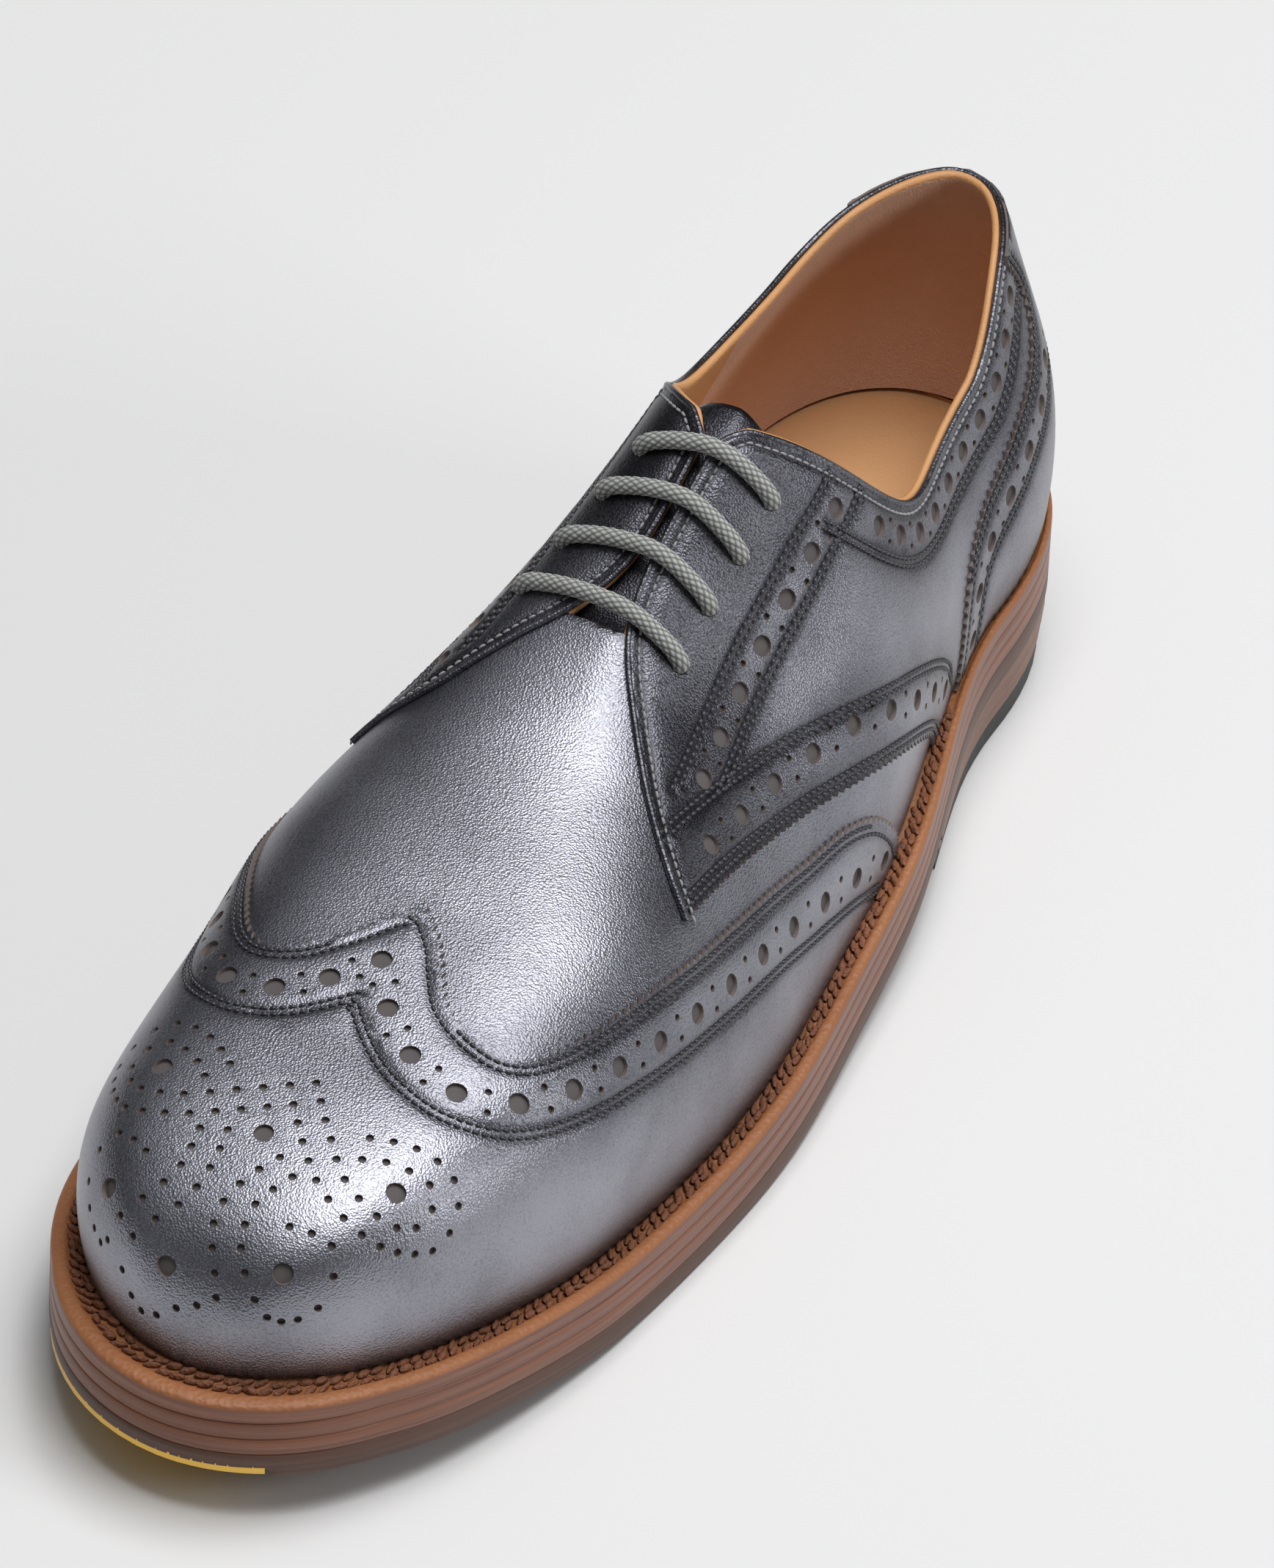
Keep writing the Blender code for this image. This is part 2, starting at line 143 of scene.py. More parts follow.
paper, _, _ = plain_material("paper_floor", (0.80, 0.80, 0.80), 0.9)
corner = FLOOR_HALF * np.array([[-1, -1, 0], [1, -1, 0], [1, 1, 0], [-1, 1, 0]], float)
mesh_piece("floor", corner - [0, 0, FLOOR_DROP], [(0, 1, 2, 3)], [paper])

# Wing cap
# The toe piece of slate calf, drawn out into a point over the vamp and two wings whose tails run back to
# the welt. It is cut flat, punched, gimped at its edge, pulled over the last and sewn down by double rows.
# Last: sections run from the feather line, where upper meets welt, to the ridge; s is mm from the heel.
MM = 0.001
LENGTH = 292.0
HEEL_AXIS = 45.0
TOE_START = 222.0
TOE_POWER = 1.95
BOX_START = 250.0
BOX_POWER = 2.5
BULGE_HEIGHT = 0.28
FAN_POWER = 2.25
PLAN_COLUMNS = "station centre medial lateral feather ridge".split()
PLAN = np.array([
    [45.0, -1.2, 30.7, 29.3, 29.0, 116.0],
    [75.0, 0.5, 30.6, 32.4, 26.8, 115.5],
    [105.0, 2.6, 26.2, 37.8, 23.0, 109.0],
    [135.0, 1.2, 29.4, 42.8, 19.0, 91.8],
    [165.0, 0.0, 38.2, 46.8, 16.5, 77.0],
    [195.0, -0.6, 43.0, 46.6, 15.3, 70.8],
    [222.0, -1.2, 41.0, 44.5, 16.6, 65.9],
    [250.0, -1.6, 41.5, 42.5, 20.2, 59.5],
    [275.0, -1.6, 43.4, 43.0, 23.6, 57.5],
    [292.0, -1.2, 44.4, 42.9, 25.4, 58.5],
])
WALL_COLUMNS = ["station", "medial_bulge", "medial_shoulder", "medial_flat",
                "lateral_bulge", "lateral_shoulder", "lateral_flat", "rise"]
WALLS = np.array([
    [45.0, 2.6, 0.66, 0.26, 2.6, 0.74, 0.36, 0.50],
    [75.0, 3.6, 0.74, 0.40, 2.0, 0.78, 0.32, 0.51],
    [105.0, 5.6, 0.93, 0.64, 1.3, 0.76, 0.24, 0.57],
    [135.0, 5.4, 1.02, 0.74, 0.8, 0.72, 0.14, 0.60],
    [165.0, 4.2, 1.03, 0.70, 1.6, 0.86, 0.32, 0.69],
    [195.0, 2.2, 0.99, 0.64, 2.4, 0.98, 0.53, 0.78],
    [222.0, 1.9, 0.96, 0.57, 3.0, 1.02, 0.61, 0.82],
    [250.0, 2.6, 0.98, 0.58, 3.0, 1.02, 0.63, 0.85],
    [275.0, 4.6, 1.03, 0.62, 3.0, 1.02, 0.63, 0.87],
    [292.0, 4.6, 1.05, 0.64, 3.0, 1.02, 0.62, 0.88],
])
BACK = dict(reach=43.0, feather=31.0, ridge=116.0, bulge=4.0, shoulder=0.97, rise=0.52, flat=0.80)
EDGE = np.array([[0.0, 2.6], [60.0, 2.8], [105.0, 4.2], [165.0, 5.4], [235.0, 5.8], [275.0, 6.4],
                 [292.0, 8.4]])
BEYOND_TOE = 12.0


def spline(x, y, at):
    """Cubic spline through the points, level at its first point and free at its last."""
    n = len(x)
    h = np.diff(x)
    slope = np.diff(y) / h
    a = np.zeros((n, n))
    b = np.zeros(n)
    a[0, :2] = 2 * h[0], h[0]
    b[0] = 6 * slope[0]
    for i in range(1, n - 1):
        a[i, i - 1:i + 2] = h[i - 1], 2 * (h[i - 1] + h[i]), h[i]
        b[i] = 6 * (slope[i] - slope[i - 1])
    a[-1, -1] = 1.0
    m = np.linalg.solve(a, b)
    i = np.clip(np.searchsorted(x, at) - 1, 0, n - 2)
    left, right = x[i + 1] - at, at - x[i]
    bend = (m[i] * left**3 + m[i + 1] * right**3) / (6 * h[i])
    return bend + (y[i] / h[i] - m[i] * h[i] / 6) * left + (y[i + 1] / h[i] - m[i + 1] * h[i] / 6) * right


def section_value(name, s):
    """One column of the section tables at distances s from the heel."""
    table, columns = (PLAN, PLAN_COLUMNS) if name in PLAN_COLUMNS else (WALLS, WALL_COLUMNS)
    s = np.clip(np.asarray(s, float), table[0, 0], None)
    return spline(table[:, 0], table[:, columns.index(name)], s)


def feather_height(s):
    """Height of the line where the upper meets the welt, from heel to toe."""
    x = np.concatenate([[HEEL_AXIS - BACK["reach"]], PLAN[:, 0]])
    y = np.concatenate([[BACK["feather"]], PLAN[:, PLAN_COLUMNS.index("feather")]])
    return spline(x, y, np.clip(np.asarray(s, float), x[0], x[-1] + BEYOND_TOE))


def rounding(s, start, power):
    """1 up to start, then a superellipse down to 0 at the toe tip."""
    q = np.clip((s - start) / (LENGTH - start), 0, 1)
    return (1 - q**power) ** (1 / power)


def station(tau):
    """Distance along the shoe: tau 0 to 1 fans round the heel, 1 to 2 is the middle, 2 to 3 the toe."""
    middle = HEEL_AXIS + (TOE_START - HEEL_AXIS) * np.clip(tau - 1, 0, 1)
    return middle + (LENGTH - TOE_START) * np.sin(np.clip(tau - 2, 0, 1) * np.pi / 2)


def tau_at(s):
    """The tau of a distance s; in the heel it is the fan angle whose nominal reach gives s."""
    s = np.asarray(s, float)
    heel = np.arccos(np.clip((HEEL_AXIS - s) / BACK["reach"], 0, 1)) * 2 / np.pi
    toe = 2 + np.arcsin(np.clip((s - TOE_START) / (LENGTH - TOE_START), 0, 1)) * 2 / np.pi
    middle = 1 + (s - HEEL_AXIS) / (TOE_START - HEEL_AXIS)
    return np.where(s < HEEL_AXIS, heel, np.where(s <= TOE_START, middle, toe))


def curve5(p, w):
    """Clamped cubic B-spline of five control points with one inner knot at the middle."""
    w = np.clip(w, 0, 1)
    u = np.where(w < 0.5, 2 * w, 2 - 2 * w)
    basis = [(1 - u) ** 3, u * (3 - 4.5 * u + 1.75 * u**2), u**2 * (1.5 - u), u**3 / 4, np.zeros_like(u)]
    first = sum(b * q for b, q in zip(basis, p))
    second = sum(b * q for b, q in zip(basis, p[::-1]))
    return np.where(w < 0.5, first, second)


def last(tau, side, w):
    """Point of the last in mm: w runs from feather line (0) to ridge (1), side is 1 lateral, -1 medial.

    Each section is a five-point curve. Behind the heel axis the sections fan out on a superellipse.
    """
    tau, side, w = (np.asarray(v, float) for v in np.broadcast_arrays(tau, side, w))
    s = station(tau)
    phi = np.clip(tau, 0, 1) * np.pi / 2
    fan = tau < 1
    across = np.sin(phi)
    wide = rounding(s, TOE_START, TOE_POWER)
    tall = rounding(s, BOX_START, BOX_POWER)
    half, bulge, shoulder, flat = (
        np.where(side > 0, section_value("lateral" + k, s), section_value("medial" + k, s))
        for k in ("", "_bulge", "_shoulder", "_flat"))
    half = half * wide
    rise = section_value("rise", s)
    radii = [half, half + bulge * wide, half * shoulder, half * flat, np.zeros_like(half)]
    reach = BACK["reach"]
    backs = [reach, reach + BACK["bulge"], reach * BACK["shoulder"], reach * BACK["flat"], 0.0]
    for k in range(4):
        swept = (np.abs(across / np.maximum(radii[k], 1e-6)) ** FAN_POWER
                 + np.abs(np.cos(phi) / backs[k]) ** FAN_POWER) ** (-1 / FAN_POWER)
        radii[k] = np.where(fan, swept, radii[k])
    mix = across**2
    foot = np.where(fan, feather_height(HEEL_AXIS - radii[0] * np.cos(phi)), feather_height(s))
    ridge = section_value("ridge", s)
    ridge = np.where(fan, BACK["ridge"] * (1 - mix) + ridge * mix, ridge)
    rise = np.where(fan, BACK["rise"] * (1 - mix) + rise * mix, rise)
    height = (ridge - foot) * tall
    heights = [foot, foot + BULGE_HEIGHT * height, foot + rise * height, foot + height, foot + height]
    r = curve5(radii, w)
    x = section_value("centre", s) + side * r * np.where(fan, across, 1.0)
    return np.stack([x, np.where(fan, HEEL_AXIS - r * np.cos(phi), s), curve5(heights, w)], -1)


def sole_edge(beyond):
    """Loop of an outline in plan, beyond the feather line by a distance for each s."""
    loop = np.concatenate([last(SOLE_TAU, 1.0, 0.0), last(SOLE_TAU, -1.0, 0.0)[-2:0:-1]])[:, :2]
    step = np.roll(loop, -1, 0) - np.roll(loop, 1, 0)
    out = np.stack([step[:, 1], -step[:, 0]], 1) / np.linalg.norm(step, axis=1, keepdims=True)
    return loop + out * np.reshape(beyond(loop[:, 1]), (-1, 1))


def edge_beyond(s):
    """How far the sole's edge stands out beyond the feather line."""
    return np.interp(s, EDGE[:, 0], EDGE[:, 1])


SOLE_TAU = np.concatenate([np.linspace(0, 1, 40), np.linspace(1, 2, 90)[1:], np.linspace(2, 3, 60)[1:]])
loop_edge = sole_edge(edge_beyond)
MIDDLE = (loop_edge.max(0) + loop_edge.min(0)) / 2


def to_frame(p):
    """Shoe distances in mm to the frame in metres: toe towards -Y, the sole's middle over the origin."""
    return np.stack([p[..., 0] - MIDDLE[0], MIDDLE[1] - p[..., 1], p[..., 2]], -1) * MM


def running(points):
    """Running length along a line of points."""
    return np.concatenate([[0.0], np.cumsum(np.linalg.norm(np.diff(points, axis=0), axis=1))])


def at_run(points, run, at):
    """Points of a line at places along its running length."""
    return np.stack([np.interp(at, run, column) for column in points.T], -1)


# Charts are flat plans of the last for cutting panels, in mm.
GIRTH = 80.0
CHART_TAU = np.concatenate([np.linspace(0, 1, 60), np.linspace(1, 2, 120)[1:], np.linspace(2, 3, 80)[1:]])
MID_WALL = 0.45
CHART_ALONG = running(0.5 * (last(CHART_TAU, 1.0, MID_WALL) + last(CHART_TAU, -1.0, MID_WALL) * [-1, 1, 1]))


def over(ab):
    """Chart across the ridge: a along the shoe, b across it from medial (-) to lateral (+)."""
    a, b = ab[..., 0], ab[..., 1]
    return np.interp(a, CHART_ALONG, CHART_TAU), np.where(b < 0, -1.0, 1.0), 1 - np.abs(b) / GIRTH


def round_heel(ab):
    """Chart round the heel: a from the back seam to the lateral (+) or medial (-) front, b up the wall."""
    a, b = ab[..., 0], ab[..., 1]
    return np.interp(np.abs(a), CHART_ALONG, CHART_TAU), np.where(a < 0, -1.0, 1.0), b / GIRTH


def chart_points(chart, s, share):
    """Chart coordinates of stations s and signed wall shares: the sign gives the side."""
    s, share = np.asarray(s, float), np.asarray(share, float)
    along = np.interp(tau_at(s), CHART_TAU, CHART_ALONG)
    side = np.where(np.signbit(share), -1.0, 1.0)
    if chart is over:
        return np.stack([along, side * (1 - np.abs(share)) * GIRTH], -1)
    return np.stack([along * side, np.abs(share) * GIRTH], -1)


def outward(tau, side, w):
    """Outward unit normal of the last in the frame, from small steps along and across it."""
    d = 2e-3
    tau = np.clip(tau, d, 3 - 2 * d)
    w = np.clip(w, d, 1 - d)
    along = last(tau + d, side, w) - last(tau - d, side, w)
    up = last(tau, side, w + d) - last(tau, side, w - d)
    return unit(np.cross(along, up) * side[..., None]) * [1.0, -1.0, 1.0]


def surface(chart, ab, lift=0.0):
    """Points in the frame at a lift in mm above the last."""
    tau, side, w = chart(ab)
    return to_frame(last(tau, side, w)) + outward(tau, side, w) * np.reshape(lift, np.shape(lift) + (1,)) * MM


def chart_slopes(chart, ab):
    """The frame's change in mm for each mm along the chart's two directions."""
    d = 0.2
    a = (surface(chart, ab + [d, 0]) - surface(chart, ab - [d, 0])) / (2 * d * MM)
    b = (surface(chart, ab + [0, d]) - surface(chart, ab - [0, d])) / (2 * d * MM)
    return np.stack([a, b], -1)


def line_length(chart, line):
    """Running length in mm along a chart line, measured on the last."""
    return running(surface(chart, line) / MM)


def even(chart, line, pitch, count=None):
    """The line in steps of equal length, close to a pitch in mm."""
    run = line_length(chart, line)
    n = count or max(2, int(round(run[-1] / pitch)) + 1)
    return at_run(line, run, np.linspace(0, run[-1], n))


def hermite(x, y, slope, at):
    """Cubic curve through rows y at places x with the given slopes."""
    i = np.clip(np.searchsorted(x, at) - 1, 0, len(x) - 2)
    h = (x[i + 1] - x[i])[:, None]
    u = (at - x[i])[:, None] / h
    return ((2 * u**3 - 3 * u**2 + 1) * y[i] + (u**3 - 2 * u**2 + u) * h * slope[i]
            + (3 * u**2 - 2 * u**3) * y[i + 1] + (u**3 - u**2) * h * slope[i + 1])


def smooth_line(chart, table, pitch=1.0):
    """A smooth chart line through listed stations and signed wall shares."""
    points = chart_points(chart, *np.array(table, float).T)
    t = running(points)
    ghost = np.concatenate([2 * points[:1] - points[1:2], points, 2 * points[-1:] - points[-2:-1]])
    knots = np.concatenate([[2 * t[0] - t[1]], t, [2 * t[-1] - t[-2]]])
    slope = (ghost[2:] - ghost[:-2]) / (knots[2:] - knots[:-2])[:, None]
    return hermite(t, points, slope, np.linspace(0, t[-1], max(8, int(t[-1] / pitch))))


def straight_line(chart, table, pitch=2.0):
    """Straight chart runs between listed stations and signed wall shares."""
    points = chart_points(chart, *np.array(table, float).T)
    t = running(points)
    return at_run(points, t, np.linspace(0, t[-1], max(2, int(t[-1] / pitch))))


def beside(chart, line, distance):
    """The line moved over the last by a distance in mm, to the left of its run seen from outside."""
    distance = np.broadcast_to(np.asarray(distance, float), len(line))
    steps = max(1, int(np.ceil(np.abs(distance).max() / 2.5)))
    for _ in range(steps):
        left = unit(np.cross(outward(*chart(line)), np.gradient(surface(chart, line), axis=0)))
        j = chart_slopes(chart, line)
        metric = np.einsum("nki,nkj->nij", j, j) + 1e-9 * np.eye(2)
        push = np.einsum("nki,nk->ni", j, left * (distance / steps)[:, None])
        line = line + np.linalg.solve(metric, push[..., None])[..., 0]
    return line


def pinked(chart, line, depth=1.05, pitch=2.1):
    """A gimped edge: small round teeth whose valleys lie to the left of the line's run."""
    teeth = max(2, int(round(line_length(chart, line)[-1] / pitch)))
    points = even(chart, line, 1.0, 4 * teeth + 1)
    return beside(chart, points, depth * np.resize([0.0, 0.62, 1.0, 0.62], len(points)))


# Each panel is cut flat with its punched holes, laid on the last, and pulled down along its stitching.
HOLE_SIDES = 14
HOLE_LIP = 0.35
HOLE_SINK = 0.03
EDGE_SINK = 0.2
SEAM_SINK = 0.5
SEAM_WIDTH = 0.75
SEAM_SPREAD = (-1.5, -0.75, 0.0, 0.75, 1.5)
# Painted shade in the seam troughs, and the reach of the darkening from seams, rim and overlapping edges,
# which is real burnish with painted shadow.
SEAM_SHADE = 0.3
BURNISH_SHADE_REACH = 5.5
PANEL_LIFT = 0.5
NET_STEPS = (2.2, 2.2 * 0.87)
SEAM_STEP = 1.25
SEAM_FINE_STEP = 0.6
ROW_CLEAR = 0.55 * NET_STEPS[0]
RIM_CLEAR = 0.55
HOLE_CLEAR = HOLE_LIP + 0.4
ON_LINE = 1e-4
NO_POINTS = np.zeros((0, 2))
SHARP = np.radians(48)


def inside(points, loop):
    """Which points lie inside a closed loop, by counting the edges that a ray crosses."""
    found = np.zeros(len(points), bool)
    x0, y0 = loop.T
    x1, y1 = np.roll(loop, -1, 0).T
    for first in range(0, len(points), 4000):
        x, y = points[first:first + 4000].T[..., None]
        crossed = (y0 > y) != (y1 > y)
        with np.errstate(divide="ignore", invalid="ignore"):
            at = x0 + (y - y0) * (x1 - x0) / (y1 - y0)
        found[first:first + 4000] = (crossed & (x < at)).sum(1) % 2 == 1
    return found


def nearest(points, others):
    """Distance from each point to the nearest of the others, or a large one if there are none."""
    best = np.full(len(points), 1e3)
    for first in range(0, len(points) if len(others) else 0, 2000):
        part = points[first:first + 2000]
        square = (part**2).sum(1)[:, None] + (others**2).sum(1)[None] - 2 * part @ others.T
        best[first:first + 2000] = np.sqrt(np.maximum(square.min(1), 0))
    return best


def hole_rings(chart, holes, grow=0.0):
    """Rings of chart points that are circles on the last; holes has columns a, b and radius in mm."""
    j = chart_slopes(chart, holes[:, :2])
    value, vector = np.linalg.eigh(np.einsum("nki,nkj->nij", j, j))
    turn = np.linspace(0, 2 * np.pi, HOLE_SIDES, endpoint=False)
    stretch = vector * (1 / np.sqrt(np.maximum(value, 1e-6)))[:, None, :] @ np.swapaxes(vector, 1, 2)
    ring = np.swapaxes(stretch @ np.stack([np.cos(turn), np.sin(turn)]), 1, 2)
    return holes[:, None, :2] + ring * (holes[:, 2] + grow)[:, None, None]


def loop_edges(first, count):
    """Index pairs round a closed loop of points."""
    k = np.arange(count)
    return np.stack([first + k, first + (k + 1) % count], -1)


def tagged(piece, name, values):
    """Stores a value for each point of a piece under a name that its material reads."""
    store = piece.data.attributes.new(name, "FLOAT", "POINT")
    store.data.foreach_set("value", np.asarray(values, np.float32).reshape(-1))


def cut_panel(name, chart, rim, holes, seams, lift=PANEL_LIFT, thick=1.1, shadows=(), painted_shade=None,
              burnish_with_shade=0.45):
    """Cuts a panel in its chart and lays it on the last.

    The rim and hole rings are fixed edges of a Delaunay net over a hexagonal grid, with extra rows beside
    each seam. Lift drops by a Gaussian trough along seams and rolls down at the rim and hole lips. The
    darkening falls off with distance from seams, rim and the edges of pieces that lie over the panel: real
    burnish near seams and rim, with painted shade in the seam troughs and painted shadow beside overlapping
    edges.
    """
    rings = hole_rings(chart, holes)
    hole_points = rings.reshape(-1, 2)
    lips = hole_rings(chart, holes, HOLE_LIP).reshape(-1, 2)
    rows = np.concatenate([NO_POINTS] + [beside(chart, even(chart, seam, SEAM_STEP), side)
                                         for seam in seams for side in SEAM_SPREAD])
    axes = [np.arange(*ends) for ends in zip(rim.min(0), rim.max(0), NET_STEPS)]
    grid = np.stack(np.meshgrid(*axes, indexing="ij"), -1)
    grid[:, 1::2, 0] += NET_STEPS[0] / 2
    grid = grid.reshape(-1, 2)
    free = np.concatenate([rows, grid[nearest(grid, rows) > ROW_CLEAR]])
    free = free[inside(free, rim)]
    free = free[nearest(free, rim) > RIM_CLEAR]
    if len(holes):
        gap = np.linalg.norm(free[:, None] - holes[None, :, :2], axis=2) - holes[None, :, 2]
        free = free[gap.min(1) > HOLE_CLEAR]
    edges = [loop_edges(0, len(rim))]
    edges += [loop_edges(len(rim) + h * HOLE_SIDES, HOLE_SIDES) for h in range(len(holes))]
    corners = np.concatenate([rim, hole_points, lips, free])
    net = delaunay_2d_cdt(corners.tolist(), np.concatenate(edges).tolist(), [], 0, 1e-7)
    flat = np.array([tuple(v) for v in net[0]])
    tris = np.array(net[2])
    centre = flat[tris].mean(1)
    keep = inside(centre, rim)
    for ring in rings:
        middle = ring.mean(0)
        reach = np.linalg.norm(ring - middle, axis=1).max()
        hit = np.flatnonzero(keep & (np.linalg.norm(centre - middle, axis=1) < reach))
        keep[hit[inside(centre[hit], ring)]] = False
    tris = tris[keep]
    a, b = flat[tris[:, 1]] - flat[tris[:, 0]], flat[tris[:, 2]] - flat[tris[:, 0]]
    outside_up = (a[:, 0] * b[:, 1] - a[:, 1] * b[:, 0] > 0) == (chart is over)
    tris[~outside_up] = tris[~outside_up][:, ::-1]
    used = np.unique(tris)
    tris = np.searchsorted(used, tris)
    flat = flat[used]
    ground = surface(chart, flat) / MM
    seam_points = np.concatenate([NO_POINTS] + [even(chart, seam, SEAM_FINE_STEP) for seam in seams])
    to_seam = nearest(ground, surface(chart, seam_points) / MM)
    to_rim = nearest(flat, rim)
    trough = np.exp(-(to_seam / SEAM_WIDTH) ** 2)
    rise = lift - SEAM_SINK * trough
    rise -= EDGE_SINK * (to_rim < ON_LINE) + HOLE_SINK * (nearest(flat, hole_points) < ON_LINE)
    sides = np.concatenate([tris[:, [0, 1]], tris[:, [1, 2]], tris[:, [2, 0]]])
    _, index, count = np.unique(np.sort(sides, 1), axis=0, return_index=True, return_counts=True)
    border = sides[index[count == 1]]
    low_ring = np.unique(border)
    below = np.searchsorted(low_ring, border) + len(flat)
    points = np.concatenate([surface(chart, flat, rise), surface(chart, flat[low_ring], lift - thick)])
    walls = np.stack([border[:, 1], border[:, 0], below[:, 0], below[:, 1]], 1)
    piece = mesh_piece(name, points, tris.tolist() + walls.tolist(), [SLATE, RAW_EDGE],
                       np.repeat([0, 1], [len(tris), len(walls)]))
    # Painted shade: the colour darkens in the seam troughs and beside the edges of overlapping pieces, on top
    # of real burnish near seams and rim.
    to_shadow = nearest(ground, np.concatenate([np.zeros((0, 3)), *shadows]) / MM)
    near = np.minimum(np.minimum(to_seam, to_rim), to_shadow)
    shade = burnish_with_shade * np.exp(-near / BURNISH_SHADE_REACH) + SEAM_SHADE * trough
    # Optional painted shade over part of the panel.
    if painted_shade is not None:
        shade = np.maximum(shade, painted_shade(*chart(flat)))
    tagged(piece, "burnish_and_shade", np.concatenate([shade, np.ones(len(low_ring))]))
    piece.data.set_sharp_from_angle(angle=SHARP)
    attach(piece, "root")
    return piece


def grain_group():
    """Pebbled grain: small Voronoi cells with fine noise, as a height, and broad noise for blotches."""
    group = bpy.data.node_groups.new("leather_grain", "ShaderNodeTree")
    for name, kind, way in (("Vector", "Vector", "INPUT"), ("Cells", "Float", "INPUT"),
                            ("Height", "Float", "OUTPUT"), ("Blotch", "Float", "OUTPUT")):
        group.interface.new_socket(name, in_out=way, socket_type="NodeSocket" + kind)
    source, sink = group.nodes.new("NodeGroupInput"), group.nodes.new("NodeGroupOutput")
    cells, fine, blotch, mix = nodes(group, "TexVoronoi", "TexNoise", "TexNoise", "Math")
    cells.feature = "SMOOTH_F1"
    mix.operation = "MULTIPLY_ADD"
    put(cells, {"Smoothness": 0.35})
    put(fine, {"Scale": 5200.0, "Detail": 2.0})
    put(blotch, {"Scale": 34.0, "Detail": 4.0})
    put(mix, {1: 0.35})
    wire(group, *((source.outputs["Vector"], node.inputs["Vector"]) for node in (cells, fine, blotch)),
         (source.outputs["Cells"], cells.inputs["Scale"]), (fine.outputs["Fac"], mix.inputs[0]),
         (cells.outputs["Distance"], mix.inputs[2]), (mix.outputs[0], sink.inputs["Height"]),
         (blotch.outputs["Fac"], sink.inputs["Blotch"]))
    return group


GRAIN = grain_group()


def leather(name, light, dark, cells, bump, roughness, depth=0.0004, burnish_with_shade=False):
    """Leather in two tones over a pebbled grain.

    Plain leather mixes the tones by its blotches. Burnished leather adds its grain and the piece's own
    burnish and painted shade, and has a pewter sheen under a thin coat of wax.
    """
    m, tree, shader = plain_material(name, light, roughness)
    place, grain, colour, dent = nodes(tree, "TexCoord", "Group", "Mix", "Bump")
    grain.node_tree = GRAIN
    colour.data_type = "RGBA"
    put(grain, {"Cells": cells})
    put(colour, {"A": (*light, 1.0), "B": (*dark, 1.0)})
    put(dent, {"Strength": bump, "Distance": depth})
    wire(tree, (place.outputs["Object"], grain.inputs["Vector"]),
         (grain.outputs["Height"], dent.inputs["Height"]), (dent.outputs["Normal"], shader.inputs["Normal"]),
         (colour.outputs["Result"], shader.inputs["Base Color"]))
    if not burnish_with_shade:
        wire(tree, (grain.outputs["Blotch"], colour.inputs["Factor"]))
        return m
    # The darker tone follows the blotches, the pebbles and the piece's value of burnish and painted shade.
    burnish_and_shade_input, cloud, pebbles, total = nodes(tree, "Attribute", "Math", "Math", "Math")
    burnish_and_shade_input.attribute_name = "burnish_and_shade"
    cloud.operation = pebbles.operation = "MULTIPLY_ADD"
    total.operation = "ADD"
    total.use_clamp = True
    put(cloud, {1: 1.3, 2: -0.76})
    put(pebbles, {1: 0.45})
    wire(tree, (grain.outputs["Blotch"], cloud.inputs[0]), (grain.outputs["Height"], pebbles.inputs[0]),
         (cloud.outputs[0], pebbles.inputs[2]), (pebbles.outputs[0], total.inputs[0]),
         (burnish_and_shade_input.outputs["Fac"], total.inputs[1]), (total.outputs[0], colour.inputs["Factor"]))
    put(shader, {"Metallic": 0.94, "Coat Weight": 0.12, "Coat Roughness": 0.3})
    return m


SLATE = leather("slate_calf", (0.36, 0.363, 0.413), (0.05, 0.05, 0.06), 2500.0, 0.34, 0.36, 0.0003,
                burnish_with_shade=True)
RAW_EDGE, _, _ = plain_material("raw_cut_edge", (0.16, 0.125, 0.11), 0.8)
CAP_LATERAL = [(209, 1.0), (216, 0.95), (222, 0.92), (227, 0.888), (230, 0.83), (230.5, 0.76), (227, 0.70),
               (216, 0.63), (197, 0.552), (183, 0.495), (171, 0.445), (156, 0.37), (142, 0.29), (128, 0.22),
               (118, 0.147), (110, 0.06), (106, 0.0)]
CAP_MEDIAL = [(209, -1.0), (216, -0.965), (222, -0.92), (226, -0.87), (227, -0.8), (224, -0.74),
              (217, -0.675), (206, -0.59), (194, -0.51), (180, -0.45), (164, -0.41), (151, -0.34),
              (135, -0.265), (119, -0.175), (106, -0.07), (99, -0.0)]
ROW_LATERAL = [(224, 1.0), (233, 0.955), (239.5, 0.885), (241.5, 0.78), (237, 0.66), (224, 0.545),
               (204, 0.448), (183, 0.378), (163, 0.3), (143, 0.19), (126, 0.1), (116, 0.045)]
ROW_MEDIAL = [(224, -1.0), (231, -0.95), (236, -0.88), (236.5, -0.79), (231, -0.665), (220, -0.565),
              (206, -0.465), (190, -0.375), (176, -0.335), (163, -0.3), (150, -0.235), (137, -0.17),
              (124, -0.11), (113, -0.045)]
TOE_TIP = 291.9999
EDGE_ROWS = (1.7, 3.1)
BAND_ROWS = (4.6, 6.0)
BIG_HOLE = 1.95
PAIR_HOLE = 0.66
PAIR_APART = 1.95
FEATHER_CLEAR = 1.2
RIDGE_CLEAR = 0.15
SEAM_END = 0.9
CAP_PITCH = 11.9
CAP_PITCH_MEDIAL = 11.1
CAP_STRETCH = 0.14
MEDALLION_PITCH = 4.15
MEDALLION_BIG = 1.85
MEDALLION_SMALL = 0.74
MEDALLION_CLEAR = 2.7
MEDALLION_TURN = (0.98, 0.2)
MEDALLION_PLACE = (0.3, 61.9)
MEDALLION_LEAN = 0.16


